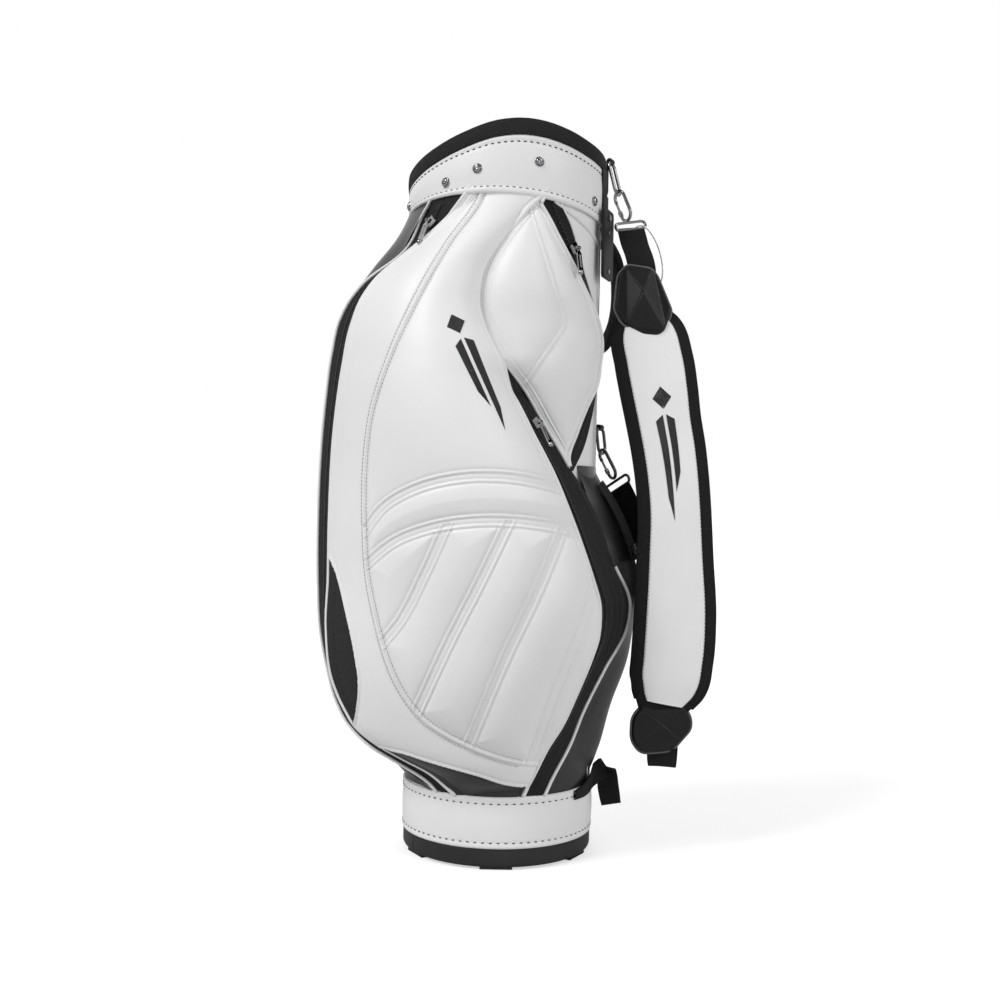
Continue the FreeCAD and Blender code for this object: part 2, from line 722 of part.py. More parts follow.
def hook_parts(label, top, low, width_way):
    """A spring hook: a bent wire body open on one side, and the gate that closes it."""
    wire = size("hook_wire")
    length = size("hook_length")
    width = size("hook_width")
    bend = width / 2 - wire
    high = -wire - bend
    deep = -length + wire + bend
    nose = high - 3.0
    heel = deep + 3.0
    path = Part.Wire(
        [
            line_edge(Vector(bend, nose, 0), Vector(bend, high, 0)),
            arc_edge(Vector(bend, high, 0), Vector(0, high + bend, 0), Vector(-bend, high, 0)),
            line_edge(Vector(-bend, high, 0), Vector(-bend, deep, 0)),
            arc_edge(Vector(-bend, deep, 0), Vector(0, deep - bend, 0), Vector(bend, deep, 0)),
            line_edge(Vector(bend, deep, 0), Vector(bend, heel, 0)),
        ]
    )
    section = Part.Wire(Part.makeCircle(wire, Vector(bend, nose, 0), Vector(0, 1, 0)))
    body = path.makePipeShell([section], True, False)
    pin_y = heel + 2.6
    for side in (-1, 1):
        lug = Part.makeBox(3.4, 6.4, 0.9, Vector(bend - 1.7, heel - 1.6, side * 1.75 - 0.45))
        body = body.fuse(lug)
    pin = Part.makeCylinder(size("pin_radius"), 3.9, Vector(bend, pin_y, -1.95), Vector(0, 0, 1))
    body = body.fuse(pin)
    body = body.cut(Part.makeBox(3.4, 8, 2.6, Vector(bend - 1.7, heel - 0.4, -1.3)).cut(pin))
    gate = Part.makeCylinder(2.0, 2.0, Vector(bend, pin_y, -1.0), Vector(0, 0, 1))
    shaft = Part.makeBox(2.4, nose - 0.5 - pin_y, 2.0, Vector(bend - 1.2, pin_y, -1.0))
    gate = gate.fuse(shaft)
    bore = size("pin_radius") + size("pin_clearance")
    gate = gate.cut(Part.makeCylinder(bore, 6, Vector(bend, pin_y, -3), Vector(0, 0, 1))).removeSplitter()
    down = (low - top).normalize()
    out = Vector(*width_way).cross(down)
    place = frame_placement(top - down * (size("ring_wire") + 2 * wire + 0.4), down * -1, out)
    body = body.removeSplitter()
    body.Placement = place
    gate.Placement = place
    feature(label + "_hook", body)
    feature(label + "_hook_gate", gate)
    told("gate_" + label, place.multVec(Vector(bend, pin_y, 0)), place.Rotation.multVec(Vector(0, 0, 1)))
    return place


def tab(room, top, width_way, down_to, wall, width):
    """A folded tab: a plate standing on a wall of the bag, ending in a fold with room for the ring's wire."""
    side = Vector(*width_way).normalize()
    away = Vector(top.x, top.y, 0).normalize()
    across = away.cross(Vector(0, 0, 1)).normalize()
    thick = 2.4
    foot = away * (wall + 0.1)
    plate = Part.makeBox(width, thick, top.z - down_to)
    plate.Placement = Placement(
        foot + across * (-width / 2) + Vector(0, 0, down_to), Rotation(across, away, Vector(0, 0, 1), "XYZ")
    )
    bridge = Part.makeBox(9, (top - foot).dot(away), 3.4)
    bridge.Placement = Placement(
        foot + across * -4.5 + Vector(0, 0, top.z - 1.7), Rotation(across, away, Vector(0, 0, 1), "XYZ")
    )
    eye = cylinder_between(top - side * 4.5, top + side * 4.5, size("ring_wire") + 2.0)
    bore = cylinder_between(top - side * 12, top + side * 12, size("ring_wire") + 0.15)
    folded = plate.fuse(bridge).fuse(eye).cut(bore).cut(room).removeSplitter()
    return max(folded.Solids, key=lambda s: s.Volume)


def build_strap():
    up_way = (0.45, 0.89, 0)
    low_way = (0.55, 0.83, 0)
    feature("upper_ring", link(RING_TOP, SWING_TOP, up_way, 0))
    feature("lower_ring", link(LOW_RING_TOP, SWING_LOW, low_way, 0))
    room = link(RING_TOP, SWING_TOP, up_way, 0.3)
    feature("upper_ring_tab", tab(room, RING_TOP, up_way, 812, size("rim_radius"), 16))
    room = link(LOW_RING_TOP, SWING_LOW, low_way, 0.3)
    feature("lower_ring_tab", tab(room, LOW_RING_TOP, low_way, 506, 117.2, 16))
    hook_parts("upper", SWING_TOP, HOOK_LOW, (0.545, -0.839, 0.0))
    hook_parts("lower", SWING_LOW, LOW_HOOK_LOW, (0.446, -0.895, 0.0))
    told("strap_swing", SWING_TOP, (SWING_TOP - SWING_LOW).normalize())

    # D-shaped loops in the hooks' eyes, and the webbing folded over their straight bars
    dee_width = size("web_width") + 8
    rooms = {}
    for label, low, way in (("upper", HOOK_LOW, (1, 0.05, -0.22)), ("lower", LOW_HOOK_LOW, (0.75, -0.66, 0))):
        lean = Vector(0.25, -0.35, -1) if label == "upper" else Vector(0.45, -0.3, -1)
        dee = square_loop(14.0, dee_width, 1.8, 4.5)
        out = Vector(*way).cross(lean)
        top = low - lean.normalize() * (0.7 if label == "upper" else 0.3)
        dee.Placement = frame_placement(top, lean * -1, out)
        room = square_loop(14.6, dee_width + 0.6, 2.1, 4.5)
        room.Placement = frame_placement(top - lean * 0.3, lean * -1, out)
        rooms[label] = room
        feature(label + "_dee", dee)
        bar_at = top + lean.normalize() * 12.2
        told(label + "_dee_bar", bar_at, Vector(*way))

    pad_path = [
        (163, -33, 700), (168, -37, 672), (177, -43, 637), (184, -50, 588), (195, -58, 502), (200, -62, 454),
        (204, -64, 406), (206.5, -65, 362), (207, -66, 287), (202, -66, 228), (198, -64, 180), (194, -63, 150),
    ]
    pad_width = [58, 66, 88, 92, 90, 86, 86, 88, 94, 94, 82, 62]
    pad = ribbon(pad_path, [(w, 0.08 * w, 0) for w in pad_width], size("pad_thickness"))
    up_cap = cap_plate(
        [(160, 719), (178, 714), (193, 693), (216, 633), (212, 614), (191, 608), (165, 616), (131, 652), (135, 690),
         (145, 713)],
        Vector(172, -42, 664), Vector(0.1, -1, 0.15),
    )
    low_cap = cap_plate(
        [(159, 170), (175, 190), (192, 202), (214, 200), (231, 169), (231, 157), (208, 131), (170, 128), (158, 144)],
        Vector(197, -64, 166), Vector(0.08, -1, 0.04),
    )
    between = pad.cut(up_cap).cut(low_cap)
    feature("shoulder_pad", max(between.Solids, key=lambda s: s.Volume))
    feature("upper_pad_cap", up_cap)
    feature("lower_pad_cap", low_cap)

    web = size("web_width")
    thin = size("web_thickness")
    upper = ribbon(
        [(154.6, -14.6, 763.5), (158.5, -19.6, 745), (163, -26, 730), (166, -30, 716), (167, -33, 704)],
        [(web, 0.05 * web, -0.2 * web)] * 5, thin,
    )
    web_solid = upper.cut(up_cap).cut(rooms["upper"])
    feature("upper_webbing", max(web_solid.Solids, key=lambda s: s.Volume))
    lower = ribbon(
        [(149.4, 18.4, 443), (156, 14, 430), (168, 8, 405), (184, 1, 365), (194, -10, 320), (200, -20, 270), (203, -30, 220),
         (203, -38, 175), (202, -43, 140), (200, -49, 117), (198, -56, 111), (196, -62, 117), (195, -64, 134)],
        [(0.75 * web, -0.66 * web, 0)] * 3 + [(0.84 * web, -0.54 * web, 0)] * 2 + [(0.96 * web, -0.2 * web, 0)] * 8,
        thin,
    )
    web_solid = lower.cut(low_cap).cut(rooms["lower"])
    feature("lower_webbing", max(web_solid.Solids, key=lambda s: s.Volume))
    buckle = ribbon([(202.4, -28, 232), (203.2, -31.6, 212)], [(0.96 * 44, -0.2 * 44, 0)] * 2, 8)
    slot = ribbon([(202, -26, 242), (203.6, -33.4, 202)], [(0.96 * 35, -0.2 * 35, 0)] * 2, 3.4)
    feature("strap_adjuster", buckle.cut(slot))


def link(top, low, width_way, room):
    """A fixed oblong link between its tab and the strap's hook, of wire thickened by room."""
    down = (low - top).normalize()
    wire = size("ring_wire") + room
    loop = wire_loop((low - top).Length + 2 * wire, 22.0 + 2 * room, wire)
    loop.Placement = frame_placement(top - down * wire, down * -1, Vector(*width_way).cross(down))
    return loop


def cap_plate(outline, centre, facing):
    """A flat end cap: its outline in X and Z, carried onto a plane through its centre."""
    facing = Vector(*facing).normalize()
    points = []
    for x, z in outline:
        y = centre.y - ((x - centre.x) * facing.x + (z - centre.z) * facing.z) / facing.y
        points.append(Vector(x, y, z))
    half = facing * (size("cap_thickness") / 2)
    face = Part.Face(Part.makePolygon([p - half for p in points + points[:1]]))
    return face.extrude(half * 2)


# ---------------------------------------------------------------- trim: studs, tag, handles


def build_trim():
    studs = []
    for x, z in STUDS_FRONT:
        y = -math.sqrt(size("cuff_radius") ** 2 - x**2)
        studs.append(stud(Vector(x, y, z)))
    for angle in STUDS_REAR:
        turn = math.radians(angle)
        at = Vector(size("cuff_radius") * math.cos(turn), size("cuff_radius") * math.sin(turn), 786)
        studs.append(stud(at))
    feature("hood_snap_studs", Part.makeCompound(studs))

    # name tag turning on a rivet through its hanger, which is sewn to the cuff
    out = Vector(0.94, -0.342, 0).normalize()
    width, height, thick = size("tag_width"), size("tag_height"), size("tag_thickness")
    drop, post = size("tag_pivot_drop"), size("tag_pivot_radius")
    place = frame_placement(Vector(123.1, -35.8, 783), Vector(0, 0, -1), out)
    plate = Part.makeBox(width, height, thick, Vector(-width / 2, 0, -thick / 2))
    plate = plate.makeFillet(5, [e for e in plate.Edges if abs(e.tangentAt(e.FirstParameter).z) > 0.9])
    bore = Part.makeCylinder(post + size("pin_clearance"), 20, Vector(0, drop, -10))
    tag = plate.cut(bore)
    tag.Placement = place
    feature("name_tag", tag)
    rivets = []
    for y, radius in ((height - 9, 2.6), (28, 2.0)):
        dome = Part.makeCylinder(radius, 1.3, Vector(0, y, thick / 2), Vector(0, 0, 1))
        dome = dome.makeFillet(0.6, [dome.Edges[0]])
        dome.Placement = place
        rivets.append(dome)
    feature("tag_rivets", Part.makeCompound(rivets))
    hanger = Part.makeBox(20, 42, 5.2, Vector(-10, -50, -9))
    hanger = hanger.fuse(Part.makeBox(20, 36, 2.2, Vector(-10, -18, -thick / 2 - 2.6)))
    hanger = hanger.cut(Part.makeCylinder(post + 0.02, 20, Vector(0, drop, -10)))
    hanger.Placement = place
    hanger = hanger.cut(cylinder_between((0, 0, 700), (0, 0, 900), size("cuff_radius") + 0.1))
    feature("tag_hanger", max(hanger.Solids, key=lambda s: s.Volume).removeSplitter())
    face = thick / 2 + 0.3
    rivet = Part.makeCylinder(post, thick + 3.4, Vector(0, drop, -thick / 2 - 2.7))
    rivet = rivet.fuse(Part.makeCylinder(4.2, 1.4, Vector(0, drop, face)))
    rivet = rivet.fuse(Part.makeCylinder(2.6, 0.8, Vector(0, drop, -thick / 2 - 3.4))).removeSplitter()
    rivet.Placement = place
    feature("tag_pivot_rivet", rivet)
    told("tag_swing", place.multVec(Vector(0, drop, 0)), out)

    # padded grab handle at the right rear and its sewn ends
    handle = ribbon(
        [(109, 40, 616), (120, 44, 620), (137, 50, 646), (146, 53, 700), (138, 50, 744), (122, 44.5, 766),
         (110, 40, 769)],
        [(-0.34 * w, 0.94 * w, 0) for w in (26, 26, 26, 26, 26, 26, 26)], size("handle_thickness"),
    ).cut(cone_outside(0.2)).cut(Part.makeBox(600, 600, 60, Vector(-300, -300, size("cuff_bottom") - 0.4)))
    feature("grab_handle", max(handle.Solids, key=lambda s: s.Volume))

    loop = ribbon(
        [(110, 8, 76), (118, 8, 78), (128, 9, 85), (138, 10, 84), (146, 10, 68), (147, 10, 52), (140, 10, 45),
         (130, 9, 50), (119, 8, 60), (110, 8, 64)],
        [(0, 30, 0)] * 10, 2.6,
    ).cut(cylinder_between((0, 0, 0), (0, 0, 200), size("low_cuff_radius") + 0.1))
    feature("base_grab_loop", max(loop.Solids, key=lambda s: s.Volume))

    ellipse = Part.Ellipse(Vector(0, 0, 0), 40.0, 18.0).toShape()
    cable = Part.Wire([ellipse]).makePipeShell(
        [Part.Wire(Part.makeCircle(0.8, ellipse.valueAt(0), ellipse.tangentAt(0)))], True, True
    )
    cable.Placement = Placement(Vector(176, -3, 734), Rotation(Vector(-0.28, 0.0, 1), Vector(0, 0, 0), Vector(0.3, -1, 0), "XYZ"))
    feature("cable_ring", cable)


def stud(at):
    """A snap stud: a collar with a narrower cap, standing off the cuff."""
    out = Vector(at.x, at.y, 0).normalize()
    collar = Part.makeCylinder(size("stud_radius"), size("stud_height") * 0.55, at + out * 0.1, out)
    head = Part.makeCylinder(size("stud_radius") * 0.72, size("stud_height"), at + out * 0.1, out)
    return collar.fuse(head).removeSplitter()


def told(name, point, direction):
    """Prints a pivot for the joint table."""
    point, direction = Vector(point), Vector(direction).normalize()
    print("PIVOT", name, [round(v, 3) for v in point], [round(v, 5) for v in direction])


def check_and_write():
    document.recompute()
    for item in document.Objects:
        if "Invalid" in item.State or "Error" in item.State:
            raise SystemExit(f"{item.Label} did not build: {item.State}")
    os.makedirs("parts", exist_ok=True)
    for item in sub_parts:
        shape = item.Shape
        if shape.isNull() or not shape.isValid() or not shape.Solids:
            raise SystemExit(f"{item.Label} is not a valid solid")
        shape.exportStep(f"parts/{item.Label}.step")
        print(f"{item.Label:24s} {shape.Volume / 1000:9.1f} cm3  solids {len(shape.Solids)}")


build_base()
build_tube()
build_top()
build_divider()
build_pockets()
for zip_name in ZIPS:
    build_zip(zip_name)
build_strap()
build_trim()
check_and_write()
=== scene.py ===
"""Looks of the golf staff bag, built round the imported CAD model.

Tables and points are in millimetres; meshes, materials and the camera are in metres.
"""

import math

import bpy
import numpy as np
from mathutils import Matrix, Vector


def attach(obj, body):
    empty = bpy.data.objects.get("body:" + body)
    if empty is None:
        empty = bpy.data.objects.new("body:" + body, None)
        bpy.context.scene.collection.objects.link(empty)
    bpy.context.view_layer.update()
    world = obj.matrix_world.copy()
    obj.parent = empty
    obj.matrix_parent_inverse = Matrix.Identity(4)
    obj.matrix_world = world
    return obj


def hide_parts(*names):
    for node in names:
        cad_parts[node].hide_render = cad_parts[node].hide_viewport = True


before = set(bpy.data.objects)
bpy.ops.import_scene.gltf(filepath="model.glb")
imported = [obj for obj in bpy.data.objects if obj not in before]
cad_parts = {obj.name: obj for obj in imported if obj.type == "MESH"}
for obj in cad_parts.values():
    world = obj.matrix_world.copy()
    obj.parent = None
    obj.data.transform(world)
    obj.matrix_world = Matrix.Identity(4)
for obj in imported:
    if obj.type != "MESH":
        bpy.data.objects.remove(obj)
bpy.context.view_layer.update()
MM = 0.001


# ---------------------------------------------------------------- small geometry kit

def smooth(rows, q):
    """Values at q of smooth curves through rows of (parameter, value, ...)."""
    rows = np.array([list(r) for r in rows], float)
    rows = rows[np.argsort(rows[:, 0], kind="stable")]
    t, v = rows[:, 0], rows[:, 1:]
    slope = np.gradient(v, t, axis=0)
    q = np.atleast_1d(np.asarray(q, float))
    i = np.clip(np.searchsorted(t, q) - 1, 0, len(t) - 2)
    h = (t[i + 1] - t[i])[:, None]
    s = np.clip((q - t[i]) / (t[i + 1] - t[i]), 0, 1)[:, None]
    a, b, ma, mb = v[i], v[i + 1], slope[i] * h, slope[i + 1] * h
    return (2*s**3 - 3*s**2 + 1)*a + (s**3 - 2*s**2 + s)*ma + (-2*s**3 + 3*s**2)*b + (s**3 - s**2)*mb


def run_along(line):
    """Distance along a line at each of its points."""
    return np.r_[0, np.cumsum(np.linalg.norm(np.diff(line, axis=0), axis=1))]


def sample(values, run, at):
    """Rows of values, given at the distances in run, read off at the distances in at."""
    return np.stack([np.interp(at, run, column) for column in np.asarray(values).T], 1)


def path(points, count=None, step=2.0):
    """Evenly spaced points on a smooth curve through the given ones."""
    p = np.array(points, float)
    chord = run_along(p)
    fine = smooth(np.c_[chord, p], np.linspace(0, chord[-1], 40 * len(p)))
    run = run_along(fine)
    count = count or max(3, int(run[-1] / step) + 1)
    at = np.linspace(0, run[-1], count)
    return sample(fine, run, at)


def unit(v):
    v = np.asarray(v, float)
    return v / np.maximum(np.linalg.norm(v, axis=-1, keepdims=True), 1e-12)


def tangents(p, closed=False):
    if closed:
        return unit(np.roll(p, -1, 0) - np.roll(p, 1, 0))
    return unit(np.gradient(p, axis=0))


def grid_normals(g):
    du = np.gradient(g, axis=1)
    dv = np.gradient(g, axis=0)
    return unit(np.cross(du, dv))


def distance(points, line):
    """Distance from points to a polyline in the plane."""
    a, b = line[:-1], line[1:]
    ab = b - a
    length = np.maximum((ab**2).sum(1), 1e-12)
    best = np.full(len(points), 1e9)
    for k in range(len(a)):
        s = np.clip(((points - a[k]) @ ab[k]) / length[k], 0, 1)
        d = np.hypot(*(points - a[k] - s[:, None] * ab[k]).T)
        best = np.minimum(best, d)
    return best


def mesh(name, points, faces, material=None, uv=None, flat=False):
    """An object from points in millimetres and faces; uv is per point, in metres."""
    m = bpy.data.meshes.new(name)
    m.from_pydata((np.asarray(points, float) * MM).tolist(), [], [tuple(map(int, f)) for f in faces])
    if not flat:
        m.polygons.foreach_set("use_smooth", [True] * len(m.polygons))
    if uv is not None:
        layer = m.uv_layers.new(name="UVMap")
        loops = np.empty(len(m.loops), int)
        m.loops.foreach_get("vertex_index", loops)
        layer.data.foreach_set("uv", np.asarray(uv, float)[loops].ravel())
    m.validate()
    o = bpy.data.objects.new(name, m)
    bpy.context.scene.collection.objects.link(o)
    if material:
        m.materials.append(material)
    return o


def grid_faces(rows, cols, close_rows=False, close_cols=False):
    r = np.arange(rows if close_rows else rows - 1)
    c = np.arange(cols if close_cols else cols - 1)
    r, c = np.meshgrid(r, c, indexing="ij")
    r2, c2 = (r + 1) % rows, (c + 1) % cols
    f = np.stack([r*cols + c, r*cols + c2, r2*cols + c2, r2*cols + c], -1)
    return f.reshape(-1, 4)


def rod_faces(rows, sides):
    """Faces of a rod built from rings of points, with both ends closed off."""
    ends = [list(range(sides))[::-1], list(range((rows - 1) * sides, rows * sides))]
    return grid_faces(rows, sides, False, True).tolist() + ends


def grid(name, g, material, close_cols=False, flip=False):
    """A sheet from a rows x cols grid of points, with a uv map measured along it."""
    rows, cols = g.shape[:2]
    across = np.r_[np.zeros((1, rows)), np.cumsum(np.linalg.norm(np.diff(g, axis=1), axis=2), axis=1).T].T
    mid = g[:, cols // 2]
    down = run_along(mid)
    across = across - across[:, cols // 2][:, None]
    uv = np.stack([across, np.repeat(down[:, None], cols, 1)], -1).reshape(-1, 2) * MM
    faces = grid_faces(rows, cols, False, close_cols)
    if flip:
        faces = faces[:, ::-1]
    return mesh(name, g.reshape(-1, 3), faces, material, uv)


def tube(name, line, radius, material, sides=10, closed=False, up=(0, 0, 1)):
    """A round cord along a line."""
    line = np.asarray(line, float)
    t = tangents(line, closed)
    side = unit(np.cross(t, np.broadcast_to(np.asarray(up, float), t.shape)))
    lift = np.cross(side, t)
    radius = np.broadcast_to(np.asarray(radius, float), len(line))[:, None, None]
    a = np.linspace(0, 2 * math.pi, sides, endpoint=False)
    ring = np.cos(a)[None, :, None] * side[:, None] + np.sin(a)[None, :, None] * lift[:, None]
    g = line[:, None] + radius * ring
    faces = grid_faces(len(line), sides, True, True) if closed else rod_faces(len(line), sides)
    run = run_along(line)
    uv = np.stack([np.broadcast_to(a * radius[:, 0], (len(line), sides)),
                   np.repeat(run[:, None], sides, 1)], -1)
    return mesh(name, g.reshape(-1, 3), faces, material, uv.reshape(-1, 2) * MM)


def around(turn):
    """The directions outward and sideways at an angle round the bag."""
    return np.array([math.cos(turn), math.sin(turn), 0]), np.array([-math.sin(turn), math.cos(turn), 0])


def joined(name, lots, material, flat=False):
    """One object from several (points, faces) lots."""
    points, faces, base = [], [], 0
    for p, f in lots:
        points.append(np.asarray(p, float))
        faces += [tuple(i + base for i in face) for face in f]
        base += len(p)
    return mesh(name, np.concatenate(points), faces, material, flat=flat)


def spaced(line, normals, at):
    """Points, normals and directions at the given distances along a line on a surface."""
    line = np.asarray(line, float)
    run = run_along(line)
    return sample(line, run, at), unit(sample(normals, run, at)), unit(sample(tangents(line), run, at))


def stitch_row(name, line, normals, material, pitch=9.0, length=4.2, width=1.1, height=0.5, lean=0.0):
    """Short rounded threads along a line on a surface."""
    p, n, t = spaced(line, normals, np.arange(pitch / 2, run_along(line)[-1], pitch))
    side = np.cross(n, t)
    t = unit(t + side * lean)
    side = np.cross(n, t)
    lots = []
    ring = [(-1.0, 0.35), (-0.6, 0.9), (0, 1.0), (0.6, 0.9), (1.0, 0.35)]
    sides = 6
    a = np.linspace(0, 2 * math.pi, sides, endpoint=False)
    for k in range(len(p)):
        pts = []
        for along, size in ring:
            c = p[k] + t[k] * along * length / 2
            for ang in a:
                beside = side[k] * math.cos(ang) * width / 2 * size
                pts.append(c + beside + n[k] * (math.sin(ang) * height * size))
        lots.append((pts, rod_faces(len(ring), sides)))
    return joined(name, lots, material)


def teeth(name, line, normals, material, pitch=2.4, width=4.6, height=1.5):
    """A zip's coil: alternate small elements across the line."""
    p, n, t = spaced(line, normals, np.arange(pitch / 2, run_along(line)[-1], pitch))
    side = np.cross(n, t)
    lots = []
    for k in range(len(p)):
        s = 0.55 if k % 2 else -0.55
        c = p[k] + side[k] * s
        w, h, l = width / 2, height, pitch * 0.36
        pts = [c + side[k]*a*w + t[k]*b*l + n[k]*z for z, m in ((0, 1.0), (h, 0.62)) for a, b in
               ((-m, -m), (m, -m), (m, m), (-m, m))]
        lots.append((pts, [(0, 1, 5, 4), (1, 2, 6, 5), (2, 3, 7, 6), (3, 0, 4, 7), (4, 5, 6, 7),
                           (3, 2, 1, 0)]))
    return joined(name, lots, material)


# ---------------------------------------------------------------- materials

def node_material(name, colour, rough, metal=0.0, **sockets):
    m = bpy.data.materials.new(name)
    m.use_nodes = True
    bsdf = m.node_tree.nodes["Principled BSDF"]
    bsdf.inputs["Base Color"].default_value = (*colour, 1)
    bsdf.inputs["Roughness"].default_value = rough
    bsdf.inputs["Metallic"].default_value = metal
    for key, value in sockets.items():
        bsdf.inputs[key.replace("_", " ")].default_value = value
    return m


def shade(c, k):
    return tuple(min(1.0, v * k) for v in c)


class Nodes:
    """A few shorthands for building the nodes of a material or of the world."""

    def __init__(self, owner):
        self.tree = owner.node_tree
        self.bsdf = self.tree.nodes.get("Principled BSDF")

    def add(self, kind, settings=None, **inputs):
        node = self.tree.nodes.new(kind)
        for key, value in (settings or {}).items():
            setattr(node, key, value)
        for key, value in inputs.items():
            numbered = key[0] == "i" and key[1:].isdigit()
            socket = node.inputs[int(key[1:]) if numbered else key.replace("_", " ")]
            if isinstance(value, bpy.types.NodeSocket):
                self.tree.links.new(value, socket)
            else:
                socket.default_value = value
        return node

    def link(self, a, b):
        self.tree.links.new(a, b)

    def math(self, operation, *values):
        inputs = {f"i{k}": value for k, value in enumerate(values)}
        return self.add("ShaderNodeMath", {"operation": operation}, **inputs).outputs[0]

    def place(self, kind="Object"):
        return self.add("ShaderNodeTexCoord").outputs[kind]

    def axes(self, kind):
        return self.add("ShaderNodeSeparateXYZ", None, Vector=self.place(kind)).outputs

    def noise(self, vector, scale, detail=4.0, rough=0.55):
        node = self.add("ShaderNodeTexNoise", None, Vector=vector, Scale=scale, Detail=detail,
                        Roughness=rough)
        return node.outputs["Fac"]

    def cells(self, vector, scale, feature="F1"):
        node = self.add("ShaderNodeTexVoronoi", {"feature": feature}, Vector=vector, Scale=scale)
        return node.outputs["Distance"]

    def ramp(self, value, stops):
        node = self.add("ShaderNodeValToRGB", None, Fac=value)
        e = node.color_ramp.elements
        while len(e) < len(stops):
            e.new(0.5)
        for k, (pos, colour) in enumerate(stops):
            e[k].position = pos
            e[k].color = (*colour, 1)
        return node.outputs["Color"]

    def bump(self, height, strength, depth, normal=None):
        node = self.add("ShaderNodeBump", None, Height=height, Strength=strength, Distance=depth)
        if normal is not None:
            self.link(normal, node.inputs["Normal"])
        return node.outputs["Normal"]

    def normal(self, value):
        self.link(value, self.bsdf.inputs["Normal"])

    def weighed(self, a, share_a, b, share_b):
        return self.math("ADD", self.math("MULTIPLY", a, share_a), self.math("MULTIPLY", b, share_b))

    def tint(self, value, colour, low, high):
        """Base colour that goes between two (value, multiple of the colour) stops."""
        stops = [(at, shade(colour, k)) for at, k in (low, high)]
        self.link(self.ramp(value, stops), self.bsdf.inputs["Base Color"])

    def roughness(self, value, sway, least):
        self.link(self.math("ADD", self.math("MULTIPLY", value, sway), least),
                  self.bsdf.inputs["Roughness"])


def leather(name, colour, rough=0.42, grain=1.0, scale=620.0, contrast=0.06, **sockets):
    """Coated leather: pebble grain, soft creases, colour and gloss that wander a little."""
    m = node_material(name, colour, rough, **sockets)
    n = Nodes(m)
    at = n.place()
    wide = n.noise(at, 9.0, 3.0)
    fine = n.noise(at, 260.0, 5.0)
    n.tint(n.weighed(wide, 0.65, fine, 0.35), colour, (0.3, 1 - contrast), (0.7, 1 + contrast))
    pebble = n.cells(at, scale)
    crease = n.cells(at, scale * 0.42, "DISTANCE_TO_EDGE")
    height = n.weighed(pebble, 0.7, n.math("MINIMUM", crease, 0.12), 3.0)
    first = n.bump(height, 0.16 * grain, 0.0004)
    n.normal(n.bump(wide, 0.25 * grain, 0.0012, first))
    n.roughness(fine, 0.16, rough - 0.08)
    return m


def woven(name, colour, pitch=0.0011, rough=0.8, lift=0.9, diagonal=False, contrast=0.35, solid=False,
          **sockets):
    """Cloth with a weave laid along its uv map, in metres."""
    m = node_material(name, colour, rough, **sockets)
    n = Nodes(m)
    u, v, w = n.axes("Object" if solid else "UV")
    if solid:
        u, v = n.math("ADD", u, n.math("MULTIPLY", v, 0.8)), w
    if diagonal:
        u, v = n.math("ADD", u, v), n.math("SUBTRACT", u, v)
    k = 2 * math.pi / pitch
    a = n.math("SINE", n.math("MULTIPLY", u, k))
    b = n.math("SINE", n.math("MULTIPLY", v, k))
    weave = n.math("MULTIPLY", a, b)
    fuzz = n.noise(n.place(), 1400.0, 3.0)
    n.normal(n.bump(n.weighed(weave, 0.5, fuzz, 0.5), lift, pitch * 0.35))
    tone = n.math("ADD", n.math("MULTIPLY", weave, 0.5), 0.5)
    n.tint(tone, colour, (0.1, 1 - contrast), (0.9, 1 + contrast))
    return m


def spacer_mesh(name, colour, pitch=0.0034, rough=0.75):
    """Knitted spacer mesh: staggered open cells, with painted shade in the holes."""
    m = node_material(name, colour, rough, Specular_IOR_Level=0.3)
    n = Nodes(m)
    u, v, _ = n.axes("UV")
    k = 2 * math.pi / pitch
    a = n.math("COSINE", n.math("MULTIPLY", n.math("ADD", u, v), k * 0.5))
    b = n.math("COSINE", n.math("MULTIPLY", n.math("SUBTRACT", u, v), k * 0.5))
    hole = n.math("MULTIPLY", a, b)
    hole = n.math("MULTIPLY", hole, hole)
    knit = n.noise(n.place(), 1900.0, 2.0)
    rim = n.math("SUBTRACT", 1.0, hole)
    height = n.math("ADD", rim, n.math("MULTIPLY", knit, 0.25))
    n.normal(n.bump(height, 1.0, 0.0011))
    # painted shade: the colour darkens into the holes, from rims lighter than the base colour
    n.tint(hole, colour, (0.15, 1.9), (0.75, 0.15))
    return m


def moulded(name, colour, rough=0.5, grain=0.5):
    """Moulded plastic with a fine spark-eroded texture."""
    m = node_material(name, colour, rough, Specular_IOR_Level=0.4)
    n = Nodes(m)
    at = n.place()
    fine = n.noise(at, 1500.0, 4.0)
    wide = n.noise(at, 30.0, 3.0)
    n.normal(n.bump(fine, grain, 0.0003))
    n.tint(wide, colour, (0.3, 0.85), (0.7, 1.15))
    n.roughness(wide, 0.2, rough - 0.1)
    return m


def plated(name, colour, rough):
    """Plated metal, faintly brushed and handled."""
    m = node_material(name, colour, rough, 1.0)
    n = Nodes(m)
    at = n.place()
    wide = n.noise(at, 160.0, 4.0)
    fine = n.noise(at, 900.0, 3.0)
    n.tint(wide, colour, (0.25, 0.62), (0.6, 1.0))
    n.roughness(fine, 0.18, rough - 0.06)
    n.normal(n.bump(wide, 0.12, 0.0005))
    return m


def grey(value, blue=0.001):
    """A grey with a little more blue in it."""
    return (value, value, value + blue)


